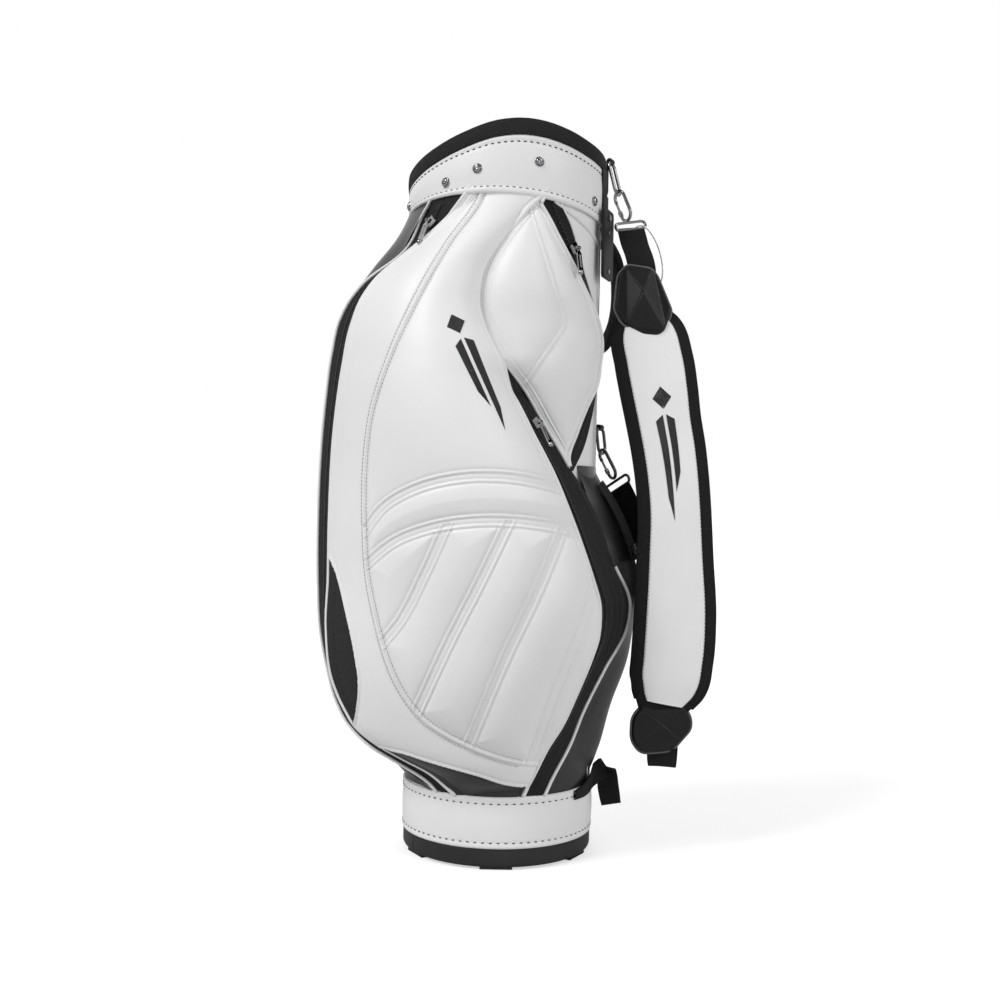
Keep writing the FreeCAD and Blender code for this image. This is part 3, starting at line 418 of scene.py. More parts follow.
white = leather("white_grained_leather", grey(0.80, 0), 0.46, 0.8, contrast=0.02, Specular_IOR_Level=0.42)
white_smooth = leather("white_piping_leather", grey(0.78, 0), 0.36, 0.3, contrast=0.015,
                       Specular_IOR_Level=0.5)
dark = leather("dark_sheen_leather", grey(0.010), 0.36, 0.6, 700.0, 0.16, Specular_IOR_Level=0.55)
# one grey leather for painted shade on the white cover's right side and painted sheen on the upper parts of
# the dark side pockets
shade_and_sheen_grey = leather("grey_painted_shade_and_sheen_leather", grey(0.030, 0.002), 0.32, 0.6, 700.0, 0.16,
                       Specular_IOR_Level=0.6)
black_leather = leather("black_leather", grey(0.014), 0.5, 1.0, 620.0, 0.2, Specular_IOR_Level=0.35)
cap_leather = leather("cap_leather", grey(0.004), 0.36, 0.6, 520.0, 0.2, Specular_IOR_Level=0.32)
rim_mesh = spacer_mesh("rim_spacer_mesh", grey(0.010), 0.0034)
leaf_mesh = spacer_mesh("leaf_spacer_mesh", grey(0.013), 0.0042)
pad_mesh = woven("pad_border_mesh", grey(0.011), 0.0026, 0.8, 1.0, True, 0.9, Specular_IOR_Level=0.25)
tape_cloth = woven("zip_tape_cloth", grey(0.011), 0.0012, 0.7, 0.7, True, 0.4, Specular_IOR_Level=0.3)
web_cloth = woven("webbing_cloth", grey(0.010), 0.0022, 0.7, 1.0, False, 0.8, Specular_IOR_Level=0.25)
gusset_cloth = woven("gusset_cloth", grey(0.009), 0.0011, 0.60, 0.6, True, 0.3, Specular_IOR_Level=0.35)
lining_cloth = woven("lining_cloth", grey(0.02, 0.002), 0.0010, 0.85, 0.5, False, 0.3, solid=True)
solid_web = woven("solid_webbing_cloth", grey(0.012), 0.0018, 0.7, 0.9, False, 0.5, solid=True,
                  Specular_IOR_Level=0.3)
satin_stitch = woven("satin_stitch_thread", grey(0.008), 0.0009, 0.4, 0.6, True, 0.4,
                     Specular_IOR_Level=0.5)
tag_leather = leather("tag_leather", grey(0.010), 0.5, 0.8, 900.0, 0.2, Specular_IOR_Level=0.35)
grey_piping = leather("grey_piping_leather", grey(0.10, 0.005), 0.4, 0.4, 700.0, 0.1,
                      Specular_IOR_Level=0.5)
thread_dark = woven("dark_thread", grey(0.035, 0.003), 0.0006, 0.6, 0.6, True, 0.3)
thread_grey = woven("grey_thread", grey(0.33, 0.01), 0.0006, 0.6, 0.6, True, 0.2)
coil = moulded("zip_coil_plastic", grey(0.02), 0.35, 0.2)
base_plastic = moulded("base_plastic", grey(0.016), 0.5, 0.6)
foot_rubber = moulded("foot_rubber", grey(0.014), 0.75, 0.9)
trim_plastic = moulded("trim_plastic", grey(0.018), 0.42, 0.4)
tube_plastic = moulded("tube_plastic", grey(0.5, 0), 0.55, 0.3)
chrome = plated("bright_chrome", grey(0.42, 0.01), 0.09)
# painted shade: a darker copy of the bright chrome, for the lower strap hardware
shaded_chrome = plated("shaded_chrome", grey(0.22, 0.01), 0.18)
cable_steel = plated("cable_steel", grey(0.62, 0), 0.26)


def paint(o, which, *materials):
    """Give an object further materials; which holds each face's material index."""
    for material in materials:
        o.data.materials.append(material)
    o.data.polygons.foreach_set("material_index", np.ravel(which).astype(np.int32))


def finish_piece(piece, body, nodes=()):
    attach(piece, body)
    if nodes:
        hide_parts(*nodes)


# ---------------------------------------------------------------- outlines of the sewn panels (z, x, y)

LEFT_EDGE = [(795, -38, -107), (778, -50, -103), (747, -80, -94), (713, -125, -76), (691, -152, -70),
             (671, -168, -67), (632, -184, -65), (584, -193, -65), (519, -201, -65), (392, -206, -65),
             (330, -206, -65), (271, -207, -67), (204, -196, -72), (175, -181, -78), (156, -167, -83),
             (138, -140, -92), (124, -110, -100), (111, -83, -103), (92, -58, -106), (70, -35, -108)]
RIGHT_EDGE = [(795, 50, -104), (783, 41, -107), (766, 25, -112), (747, 11, -116), (720, -8, -120),
              (696, -21, -123), (671, -27, -126), (654, -28, -127), (628, -22, -129), (605, -12, -132),
              (586, -2, -134), (564, 4, -136), (516, 27, -141), (451, 61, -144), (423, 73, -143),
              (372, 93, -140), (338, 105, -136), (311, 113, -132), (291, 114, -130), (270, 112, -128),
              (247, 105, -127), (206, 89, -124), (165, 71, -119), (147, 60, -117), (103, 39, -110),
              (84, 29, -107), (70, 22, -108)]
LEFT_BACK = [(795, -74, -80), (782, -88, -75), (720, -127, -55), (689, -170, -45), (673, -186, -35),
             (649, -201, -25), (605, -212, -20), (548, -219, -18), (390, -226, -18), (325, -225, -18),
             (258, -220, -20), (218, -211, -25), (175, -196, -35), (151, -180, -45), (127, -148, -62),
             (111, -112, -78), (98, -86, -88), (70, -60, -95)]
RIGHT_BACK = [(586, -1, -133), (582, 2, -128), (557, 22, -120), (518, 46, -108), (473, 74, -95),
              (446, 93, -86), (410, 113, -74), (354, 135, -60), (307, 156, -50), (274, 152, -52),
              (227, 126, -62), (177, 100, -75), (141, 85, -85), (99, 62, -98), (82, 54, -103),
              (70, 48, -105)]
CROWN = [(70, 0), (79, 0), (84, 2.5), (90, 8), (102, 20), (125, 37), (160, 56), (205, 74), (270, 89),
         (307, 93), (354, 94), (410, 93), (473, 91), (518, 88), (584, 79), (632, 66), (671, 54),
         (713, 38), (747, 22), (783, 12), (795, 10)]


def bowed(left, right, crown, z, u, power=2.2, soft=0.85):
    """Points of a padded panel: straight between its edges in plan, bowed forward by its crown."""
    a, b = smooth(left, z), smooth(right, z)
    c = smooth(crown, z)[:, 0]
    x = a[:, 0:1] + (b[:, 0:1] - a[:, 0:1]) * u
    y = a[:, 1:2] + (b[:, 1:2] - a[:, 1:2]) * u - c[:, None] * (1 - np.abs(2*u - 1)**power)**soft
    return np.stack([x, y, np.broadcast_to(z[:, None], x.shape)], -1)


# welts on the front panel, as lines in X and Z
LONG_SEAM = [(-27, 795), (-30, 781), (-66, 720), (-101, 649), (-122, 602), (-139, 557), (-150, 519),
             (-155, 482), (-157, 447), (-156, 391), (-151, 335), (-140, 289), (-127, 247), (-108, 209),
             (-84, 180), (-58, 163), (-27, 148), (6, 135), (39, 125), (55, 121)]
MESH_LINE = [(-207, 362), (-196, 346), (-177, 295), (-165, 250), (-160, 210), (-162, 192), (-166, 172),
             (-170, 160)]
BOTTOM_LINE = [(-150, 138), (-131, 138), (-108, 137), (-78, 130), (-49, 123), (-20, 115), (9, 104),
               (28, 99), (45, 96)]
ARCH_HIGH = [(-157, 388), (-132, 418), (-92, 440), (-48, 451), (0, 453), (40, 448), (90, 436)]
ARCH_LOW = [(-154, 352), (-118, 380), (-78, 396), (-34, 404), (10, 405), (55, 400), (105, 390)]
SLANTS = [
    [(-60, 400), (-84, 345), (-112, 290), (-134, 262)],
    [(8, 405), (-22, 340), (-56, 270), (-92, 188)],
    [(68, 398), (40, 330), (6, 255), (-34, 152)],
    [(112, 338), (92, 285), (66, 215), (38, 126)],
]


def gauss(d, centre, width):
    return np.exp(-((d - centre) / width)**2)


def welt(d, half=2.6, height=1.0, groove=0.9):
    """Cross-section of a sewn welt: a rounded ridge between two fine grooves."""
    ridge = np.where(d < half, height * np.cos(np.minimum(d / half, 1) * math.pi / 2)**0.8, 0)
    return ridge - groove * gauss(d, half + 0.7, 1.1)


def double_welt(d, gap=5.4):
    """Two fine ridges with a recessed band between them."""
    beside = 2.2
    ridge = gauss(d, gap, 1.15)
    grooves = 0.75 * gauss(d, gap + beside, 1.2) + 0.75 * gauss(d, gap - beside, 1.2)
    return ridge - grooves - 0.5 * (d < gap - 2)


def puff(d, rise, reach):
    return rise * (1 - np.exp(-np.maximum(d, 0) / reach))


# ---------------------------------------------------------------- front pocket

def body_radius(z):
    return 112.9 + 4.9 * (np.asarray(z, float) - 20) / 775


def off_body(g, gap=1.4):
    """The same points, moved out of the bag's round body, and in behind the lower cuff at the bottom."""
    r = np.hypot(g[..., 0], g[..., 1])
    least = body_radius(g[..., 2]) + gap
    most = np.maximum(115.2 + 2.6 * np.maximum(g[..., 2] - 84, 0), least)
    k = np.clip(r, least, most) / np.maximum(r, 1)
    out = g.copy()
    out[..., :2] *= k[..., None]
    return out


class Sheet:
    """A made grid whose rows have one height each, so that trim can be laid on it."""

    def __init__(self, g, n, z):
        self.g, self.n, self.z = g, n, z

    def at(self, line):
        """Points and normals of the sheet over points given as (X, Z)."""
        line = np.asarray(line, float)
        row = np.clip(np.interp(line[:, 1], self.z, np.arange(len(self.z))), 0, len(self.z) - 1.001)
        i = row.astype(int)
        f = (row - i)[:, None]
        points, normals = [], []
        for k in range(len(line)):
            x = self.g[i[k], :, 0] * (1 - f[k]) + self.g[i[k] + 1, :, 0] * f[k]
            col = np.clip(np.interp(line[k, 0], x, np.arange(len(x))), 0, len(x) - 1.001)
            j, w = int(col), col - int(col)
            for source, out in ((self.g, points), (self.n, normals)):
                a = source[i[k], j] * (1 - w) + source[i[k], j + 1] * w
                b = source[i[k] + 1, j] * (1 - w) + source[i[k] + 1, j + 1] * w
                out.append(a * (1 - f[k]) + b * f[k])
        return np.array(points), unit(np.array(normals))


def x_over_z(line, count, z, **beyond):
    """A line's X at each height in z, as a column."""
    rows = np.array(sorted((b, a) for a, b in path(line, count)))
    return np.interp(z, *rows.T, **beyond)[:, None]


def build_front():
    z = np.linspace(79, 795, 560)
    u = np.linspace(0, 1, 240)[None]
    g = off_body(bowed(LEFT_EDGE, RIGHT_EDGE, CROWN, z, u))
    n = grid_normals(g)
    flat = g[..., (0, 2)].reshape(-1, 2)

    def field(line):
        return distance(flat, path(line, step=4.0)).reshape(g.shape[:2])

    width = smooth(RIGHT_EDGE, z)[:, 0] - smooth(LEFT_EDGE, z)[:, 0]
    edge_left = u * width[:, None]
    edge_right = (1 - u) * width[:, None]
    seam, arch1, arch2 = field(LONG_SEAM), field(ARCH_HIGH), field(ARCH_LOW)
    seam_x = x_over_z(LONG_SEAM, 400, z)
    inside = g[..., 0] > seam_x
    lift = welt(seam, 2.9, 1.1, 1.0)
    lift = lift + np.where(inside, double_welt(arch1) + double_welt(arch2), 0)
    nearest = np.minimum(np.minimum(seam, arch1), arch2)
    arch2_z = np.interp(g[..., 0], *path(ARCH_LOW, 300).T)
    arch1_z = np.interp(g[..., 0], *path(ARCH_HIGH, 300).T)
    below = inside & (g[..., 2] < arch2_z)
    for line in SLANTS:
        d = field(line)
        lift = lift + np.where(below, double_welt(d), 0)
        nearest = np.where(below, np.minimum(nearest, d), nearest)
    quilted = inside & (g[..., 2] < arch1_z)
    lift = lift + np.where(quilted, puff(nearest - 7, 4.5, 12), puff(nearest - 5, 2.2, 14))
    mesh_line, bottom = field(MESH_LINE), field(BOTTOM_LINE)
    lift = lift + welt(mesh_line, 2.2, 0.9, 0.8) + welt(bottom, 2.2, 0.9, 0.8)
    mesh_x = x_over_z(MESH_LINE, 300, z, left=-400, right=-400)
    in_mesh = (g[..., 0] < mesh_x) & (z[:, None] < 356) & (z[:, None] > 160)
    bottom_z = np.interp(g[..., 0], *path(BOTTOM_LINE, 300).T)
    in_bottom = (g[..., 2] < bottom_z) & (z[:, None] < 140)
    lift = lift - np.where(in_mesh | in_bottom, 1.2 * (1 - gauss(np.minimum(mesh_line, bottom), 0, 2.5)), 0)
    lift = lift - 1.0 * gauss(edge_left, 6.2, 1.2) - 1.0 * gauss(edge_right, 5.6, 1.2)
    lift = lift - 0.9 * gauss(edge_left, 10.4, 0.9) - 0.9 * gauss(edge_left, 13.6, 0.9)
    lift = lift * np.clip(np.minimum(edge_left, edge_right) / 3.0, 0, 1)
    # soft unevenness of padded leather
    sway = np.sin(g[..., 0] / 31 + g[..., 2] / 47) * np.sin(g[..., 2] / 39 - g[..., 0] / 63)
    lift = lift + 0.5 * sway * np.clip(nearest / 20, 0, 1)
    g2 = g + n * lift[..., None]
    o = grid("front_pocket_panel", g2, white)
    which = np.zeros(g.shape[:2], int)
    which[in_mesh] = 1
    which[in_bottom] = 2
    paint(o, np.minimum(which[:-1, :-1], which[1:, 1:]), leaf_mesh, dark)
    finish_piece(o, "bag", ["front_pocket"])
    sheet = Sheet(g2, n, z)
    build_long_seam_stitches(sheet)
    build_front_mark(sheet)


def build_long_seam_stitches(sheet):
    line, normals = sheet.at([p for p in path(LONG_SEAM, step=3.0) if 128 < p[1] < 790 and p[0] < 36])
    whip = stitch_row("front_long_seam_whipstitch", line, normals, white_smooth, 2.3, 4.0, 1.0, 0.55, 0.9)
    finish_piece(whip, "bag")
    for shift, label in ((-4.4, "outer"), (4.4, "inner")):
        beside = line + np.cross(normals, tangents(line)) * shift - normals * 0.3
        row = stitch_row("front_long_seam_thread_" + label, beside, normals, thread_grey,
                         4.2, 3.2, 0.7, 0.5)
        finish_piece(row, "bag")


MARK = [
    [(0, 0), (12, 8.5), (24, 0), (12, -8.5)],
    [(30, 1.5), (36, 8.5), (118, 6.0), (143, 1.5)],
    [(30, -1.5), (36, -8.5), (92, -6.5), (112, -1.5)],
]


def mark_piece(name, outline, place, thick=0.7):
    """One raised stitched shape of the emblem; place turns (along, across) points into space."""
    outline = np.array(outline, float)
    mid = outline.mean(0)
    after = np.roll(outline, -1, 0)
    ring = np.concatenate([a + (b - a) * np.linspace(0, 1, 25)[:-1, None] for a, b in zip(outline, after)])
    inner = [(r, 1.0) for r in np.linspace(0.02, 0.8, 10)]
    inner += [(0.9, 0.96), (0.965, 0.75), (1.0, 0.25), (1.0, -0.8)]
    flat = np.concatenate([mid + (ring - mid) * r for r, _ in inner])
    points, normals = place(flat)
    lift = np.repeat([h for _, h in inner], len(ring))[:, None] * thick
    g = (points + normals * lift).reshape(len(inner), len(ring), 3)
    return grid(name, g, satin_stitch, close_cols=True)


def build_front_mark(sheet):
    start, end = np.array([-60.0, 632.0]), np.array([8.0, 486.0])
    along = unit(end - start)
    across = np.array([-along[1], along[0]]) * 1.25

    def place(flat):
        return sheet.at(start + flat[:, :1] * along + flat[:, 1:] * across)

    for k, outline in enumerate(MARK):
        o = mark_piece(f"front_emblem_{k}", outline, place)
        finish_piece(o, "bag")


def edge_line(table, z, push=(0, 0, 0)):
    p = smooth(table, z)
    return np.c_[p[:, 0] + push[0], p[:, 1] + push[1], z + push[2]]


def gusset(name, front, back, z_from, z_to, material, sag=2.5, ridges=(), columns=40, dip=None):
    """The strip of cloth between a panel's edge and the bag, slightly hollow, with lengthwise ridges."""
    z = np.linspace(z_from, z_to, int(abs(z_to - z_from) / 3) + 2)
    a, b = edge_line(front, z), edge_line(back, z)
    v = np.linspace(0, 1, columns)
    g = off_body(a[:, None] + (b - a)[:, None] * v[None, :, None])
    n = grid_normals(g)
    centre = g.mean(axis=(0, 1)) - np.array([0, 0, g[..., 2].mean()])
    side = np.sign((n * unit(centre)).sum(-1, keepdims=True) + 1e-9)
    n = n * side
    span = np.linalg.norm(b - a, axis=1)[:, None]
    lift = -sag * np.sin(v * math.pi)[None]**0.6 * np.clip(span / 30, 0, 1)
    for at, width, height in ridges:
        lift = lift + height * gauss(v[None] * span, at * span, width)
    if dip:
        lift = lift - dip[2] * gauss(z, dip[0], dip[1])[:, None]
    g2 = off_body(g + n * lift[..., None], 1.0)
    return grid(name, g2, material), g2, n, z


def build_gussets():
    left, gl, nl, zl = gusset("front_pocket_left_gusset", LEFT_EDGE, LEFT_BACK, 79, 795, gusset_cloth, 1.5,
                              [(0.28, 1.5, 1.0), (0.72, 1.5, 1.0)])
    finish_piece(left, "bag", ["left_zip_tape"])
    mid = gl[:, 20]
    keep = (zl > 120) & (zl < 775)
    t = teeth("front_pocket_left_zip_coil", mid[keep], nl[keep, 20], coil, 2.6, 4.2, 1.3)
    finish_piece(t, "bag")
    folds = [(0.42, 2.2, 1.6), (0.62, 3.0, 2.2), (0.80, 2.5, 1.8)]
    right, gr, nr, zr = gusset("front_pocket_right_gusset", RIGHT_EDGE, RIGHT_BACK, 79, 586,
                               gusset_cloth, 1.0, folds, 60, (549, 9, 2.6))
    finish_piece(right, "bag", ["front_zip_tape"])
    col = 11
    keep = (zr > 100) & (zr < 575)
    out = nr[keep, col]
    t = teeth("front_pocket_right_zip_coil", gr[keep, col] + out * 0.4, out, coil, 2.6, 4.2, 1.4)
    finish_piece(t, "bag")


def tucked(line, z_at, width, way):
    """The line moved a little into the bag round one height, where a slider stops beside it."""
    return line + gauss(line[:, 2], z_at, width)[:, None] * np.array(way)


def build_front_piping():
    z = np.linspace(84.5, 790, 360)
    right = off_body(edge_line(RIGHT_EDGE, z, (-0.4, -0.6, 0)), 2.0)
    zb = np.linspace(84.5, 350, 170)
    lots = [
        ("front_left_piping", off_body(edge_line(LEFT_EDGE, z, (0.6, -0.6, 0)), 2.0), 2.7),
        ("front_right_piping", tucked(right, 551, 9, (-1.3, 0.4, 0)), 2.6),
        ("front_left_back_piping", off_body(edge_line(LEFT_BACK, z, (-0.5, -0.8, 0)), 2.0), 1.9),
        ("front_right_back_piping", off_body(edge_line(RIGHT_BACK, zb, (0.4, -1.0, 0)), 2.0), 2.1),
    ]
    for name, line, radius in lots:
        finish_piece(tube(name, path(line, 420), radius, white_smooth), "bag")


# ---------------------------------------------------------------- petal pocket

PETAL_LEFT = [(790, 47, -105), (783, 41, -108), (766, 25, -113), (747, 11, -117), (720, -8, -121),
              (696, -21, -124), (671, -27, -127), (654, -28, -128), (628, -22, -130), (605, -12, -133),
              (586, -1, -134), (557, 22, -122), (518, 46, -110), (473, 74, -97), (466, 78, -95)]
PETAL_RIGHT = [(790, 50, -104), (769, 39, -110), (762, 44, -110), (733, 61, -105), (692, 86, -90),
               (662, 103, -75), (634, 114, -60), (615, 117, -56), (595, 115, -56), (567, 111, -60),
               (538, 98, -71), (507, 86, -83), (477, 77, -94), (466, 79, -94.5)]
PETAL_CROWN = [(466, 0), (477, 1.5), (507, 9), (538, 18), (567, 26), (595, 33), (620, 37), (662, 35),
               (692, 28), (733, 14), (769, 3), (790, 1)]
PETAL_INNER = [(26, 766), (70, 631), (22, 559)]


def build_petal():
    z = np.linspace(466, 790, 260)
    u = np.linspace(0, 1, 120)[None]
    g = off_body(bowed(PETAL_LEFT, PETAL_RIGHT, PETAL_CROWN, z, u, 2.0, 0.8))
    n = grid_normals(g)
    width = (smooth(PETAL_RIGHT, z)[:, 0] - smooth(PETAL_LEFT, z)[:, 0])[:, None]
    flat = g[..., (0, 2)].reshape(-1, 2)
    inner = distance(flat, rounded(PETAL_INNER, 9, 9)).reshape(g.shape[:2])
    from_left, from_right = u * width, (1 - u) * width
    lift = welt(inner, 1.9, 0.9, 0.8)
    lift = lift + 0.8 * gauss(from_left, 8.6, 1.3)
    lift = lift - 0.9 * gauss(from_left, 6.4, 1.2) - 0.9 * gauss(from_left, 10.8, 1.2)
    lift = lift - 0.9 * gauss(from_right, 5.4, 1.1)
    lift = lift + puff(np.minimum(np.minimum(from_left - 10, from_right - 6), inner - 3), 3.2, 12)
    lift = lift * np.clip(np.minimum(from_left, from_right) / 3, 0, 1) * np.clip(width / 14, 0, 1)
    g2 = g + n * lift[..., None]
    o = grid("petal_pocket_panel", g2, white)
    finish_piece(o, "bag", ["petal_pocket"])
    line = path(off_body(edge_line(PETAL_LEFT, np.linspace(468, 786, 200), (0.5, -0.8, 0)), 2.2), 240)
    finish_piece(tube("petal_left_piping", line, 2.3, white_smooth), "bag")
    line = off_body(edge_line(PETAL_RIGHT, np.linspace(468, 786, 200), (0.3, -0.8, 0)), 2.2)
    line = path(tucked(line, 675, 20, (-1.1, 0.9, 0)), 240)
    finish_piece(tube("petal_right_piping", line, 2.4, white_smooth), "bag")


PETAL_ZIP_BACK = [(790, 58, -98), (777, 60, -98), (752, 73, -90), (719, 85, -80), (685, 98, -68),
                  (664, 105, -64), (650, 110, -60)]
PETAL_FRONT_TOP = [(790, 46, -107), (769, 41, -110), (733, 61, -105), (692, 86, -90), (664, 102, -76),
                   (650, 108, -69)]
PETAL_LOW_BACK = [(582, 113, -50), (565, 112, -50), (524, 105, -62), (488, 95, -73), (463, 83, -87)]
PETAL_LOW_FRONT = [(582, 114, -58), (567, 111, -60), (538, 98, -71), (507, 86, -83), (477, 77, -94),
                   (463, 78, -96)]


def build_petal_sides():
    o, g, n, _ = gusset("petal_zip_band", PETAL_FRONT_TOP, PETAL_ZIP_BACK, 650, 788,
                        tape_cloth, 0.6, (), 24)
    finish_piece(o, "bag", ["petal_zip_tape"])
    t = teeth("petal_zip_coil", g[3:-3, 12], n[3:-3, 12], coil, 2.6, 5.0, 1.6)
    finish_piece(t, "bag")
    o, *_ = gusset("petal_lower_gusset", PETAL_LOW_FRONT, PETAL_LOW_BACK, 463, 582, gusset_cloth, 1.0,
                     [(0.5, 2.0, 1.2)], 24)
    finish_piece(o, "bag")
    back = off_body(edge_line(PETAL_ZIP_BACK, np.linspace(652, 786, 60), (0.8, -0.4, 0)), 1.6)
    finish_piece(tube("petal_zip_back_piping", back, 1.2, white_smooth), "bag")


# ---------------------------------------------------------------- side pockets

RIGHT_SIDE = [
    (74, (50, -104), (100, -22), (104, 30), (84, 74)),
    (84, (56, -101), (106, -20), (108, 32), (84, 76)),
    (125, (78, -90), (125, -10), (121, 40), (80, 82)),
    (179, (101, -74), (141, -6), (133, 50), (74, 88)),
    (237, (131, -60), (161, -4), (143, 56), (70, 92)),
    (289, (153, -51), (168.5, -2), (149, 58), (68, 94)),
    (318, (151, -52), (172, 0), (149, 58), (68, 94)),
    (349, (136, -60), (169, 0), (146, 56), (70, 92)),
    (379, (124, -68), (159, 0), (140, 52), (74, 89)),
    (418, (106, -76), (144, 0), (129, 44), (82, 82)),
    (447, (96, -80), (126, -6), (119, 38), (86, 78)),
    (463, (90, -76), (117, -10), (115, 32), (90, 70)),
    (470, (88, -76), (114, -12), (113, 28), (92, 66)),
]
LEFT_SIDE = [
    (90, (-80, -90), (-113, -20), (-110, 30), (-86, 76)),
    (125, (-144, -60), (-150, -10), (-132, 50), (-76, 86)),
    (160, (-185, -40), (-188, -4), (-158, 58), (-70, 91)),
    (205, (-206, -27), (-211, 2), (-176, 66), (-66, 95)),
    (270, (-219, -20), (-223, 8), (-186, 74), (-64, 97)),
    (354, (-223, -18), (-228, 12), (-190, 78), (-62, 99)),
    (473, (-221, -18), (-226, 12), (-188, 76), (-62, 99)),
    (584, (-213, -20), (-216, 8), (-180, 70), (-66, 97)),
    (632, (-204, -24), (-208, 4), (-172, 64), (-70, 93)),
    (671, (-186, -34), (-196, -2), (-160, 58), (-76, 89)),
    (713, (-133, -53), (-165, -8), (-142, 50), (-84, 81)),
    (747, (-112, -66), (-137, -10), (-124, 40), (-92, 73)),
    (790, (-84, -84), (-116, -14), (-112, 32), (-98, 62)),
]


SIDE_COLUMNS = 90


def side_surface(rows, z):
    """A rounded flank through four corners at each height."""
    flat = [(r[0], *[v for c in r[1:] for v in c]) for r in rows]
    v = smooth(flat, z).reshape(len(z), 4, 2)
    out = np.empty((len(z), SIDE_COLUMNS, 3))
    for k in range(len(z)):
        p = path(v[k], SIDE_COLUMNS)
        out[k, :, :2] = p
        out[k, :, 2] = z[k]
    return out


def build_side(label, rows, z_range, flip, painted_sheen_above):
    """A side pocket's dark leather, with painted sheen in lighter grey above a slanting line that starts at
    the given height.
    """
    z = np.linspace(*z_range, int((z_range[1] - z_range[0]) / 2.5))
    g = off_body(side_surface(rows, z), 1.2)
    n = grid_normals(g)
    middle = g.mean(axis=(0, 1)) * np.array([1, 1, 0])
    n = n * np.sign((n * unit(middle)).sum(-1).mean())
    share = np.linspace(0, 1, SIDE_COLUMNS)[None]
    wave = 0.9 * np.sin(z / 23)[:, None] * np.sin(share * 9)
    lift = wave * np.clip(share * 8, 0, 1) * np.clip((1 - share) * 8, 0, 1)
    g2 = g + n * lift[..., None]
    o = grid(label + "_side_pocket_leather", g2, dark, flip=flip)
    middle = (z[:-1] + z[1:])[:, None] / 2
    # painted sheen: the upper part of the dark leather is painted a lighter grey
    paint(o, middle > painted_sheen_above + np.linspace(0, 1, SIDE_COLUMNS - 1)[None] * 60, shade_and_sheen_grey)
    finish_piece(o, "bag", [label + "_side_pocket"])


# ---------------------------------------------------------------- turned parts: tube cover, cuffs, base, rim

def turned(name, profile, material, sides=180, squeeze=None):
    """A surface turned about Z from (radius, height) points; squeeze may move the heights by angle."""
    a = np.linspace(0, 2 * math.pi, sides, endpoint=False)
    r, z = np.array(profile, float).T
    g = np.empty((len(profile), sides, 3))
    g[..., 0] = r[:, None] * np.cos(a)
    g[..., 1] = r[:, None] * np.sin(a)
    g[..., 2] = z[:, None]
    if squeeze is not None:
        g = squeeze(g)
    down = run_along(g[:, sides // 2])
    shape = g.shape[:2]
    uv = np.stack([np.broadcast_to(a * r.max(), shape), np.broadcast_to(down[:, None], shape)], -1)
    faces = grid_faces(len(profile), sides, False, True)
    return mesh(name, g.reshape(-1, 3), faces, material, uv.reshape(-1, 2) * MM)


RIM_TURN = [(-200, 837), (-180, 835), (-150, 830), (-120, 827), (-95, 826.5), (-77, 828), (-48, 840.5),
            (-27, 853), (-5, 865.5), (10, 868.3), (18, 867.5), (36, 862), (52, 856), (75, 851), (90, 849),
            (130, 842), (160, 837), (180, 835), (200, 831)]


def rim_top(x, y):
    """Height of the rim's top by the angle from the front: it stands highest over the front pocket."""
    angle = np.degrees(np.arctan2(x, -y))
    return smooth(RIM_TURN, np.ravel(angle))[:, 0].reshape(np.shape(angle))


def cuff_low(x, y):
    return 767 - 0.057 * x - 0.107 * y


def cuff_high(x, y):
    return rim_top(x, y) - 19.6


def corner(a, b, c, turn, count):
    """Points of the curve that rounds off the corner b between a and c."""
    r = min(turn, 0.45 * np.linalg.norm(a - b), 0.45 * np.linalg.norm(c - b))
    s, e = b + unit(a - b) * r, b + unit(c - b) * r
    return [(1 - q)**2 * s + 2 * q * (1 - q) * b + q * q * e for q in np.linspace(0, 1, count)]


def rounded(profile, turn=5, count=5):
    """A (radius, height) outline with its inner corners rounded off."""
    p = np.array(profile, float)
    out = [p[0]]
    for k in range(1, len(p) - 1):
        out += corner(p[k - 1], p[k], p[k + 1], turn, count)
    return np.array(out + [p[-1]])


def rounded_loop(corners, turn=5, count=5):
    """A closed outline with its corners rounded off."""
    p = np.array(corners, float)
    out = []
    for k in range(len(p)):
        out += corner(p[k - 1], p[k], p[(k + 1) % len(p)], turn, count)
    out = np.array(out + [out[0]])
    run = run_along(out)
    return sample(out, run, np.linspace(0, run[-1], 181)[:-1])


def build_cover():
    """The tube's sewn cover, with painted shade as a dark grey panel on its right side, and body seams."""
    body = turned("body_cover_leather", [(body_radius(h), h) for h in np.linspace(26, 788, 60)], white)
    turn = (np.arange(180) * 2 + 181) % 360 - 180
    # painted shade: the white cover is painted dark grey from -17 to 40 degrees round, where its side turns
    # from the light
    paint(body, np.tile((turn > -17) & (turn < 40), 59), shade_and_sheen_grey)
    finish_piece(body, "bag", ["body_cover"])
    z = np.linspace(85, 786, 120)
    seams = ((-17, "front", white_smooth), (40, "rear", black_leather), (92, "back", white_smooth))
    for turn, name, material in seams:
        out, _ = around(math.radians(turn))
        seam = (body_radius(z) + 0.5)[:, None] * out
        seam[:, 2] = z
        cord = tube("body_seam_" + name, seam, 1.5, material, 8, up=out)
        finish_piece(cord, "bag")
    x = np.linspace(54, 113, 40)
    z = np.interp(x, (54, 79.3, 97, 110, 113), (776, 762.7, 752.5, 742.2, 739))
    seam = np.stack([x, -np.sqrt((body_radius(z) + 0.5)**2 - x**2), z], -1)
    finish_piece(tube("body_shoulder_seam", path(seam, 80), 1.9, white_smooth), "bag")


def circle(radius, height):
    """400 points round a circle, and the normals there."""
    a = np.linspace(0, 2 * math.pi, 400)
    out = np.stack([np.cos(a), np.sin(a), 0 * a], -1)
    return out * radius + np.array([0, 0, height]), out


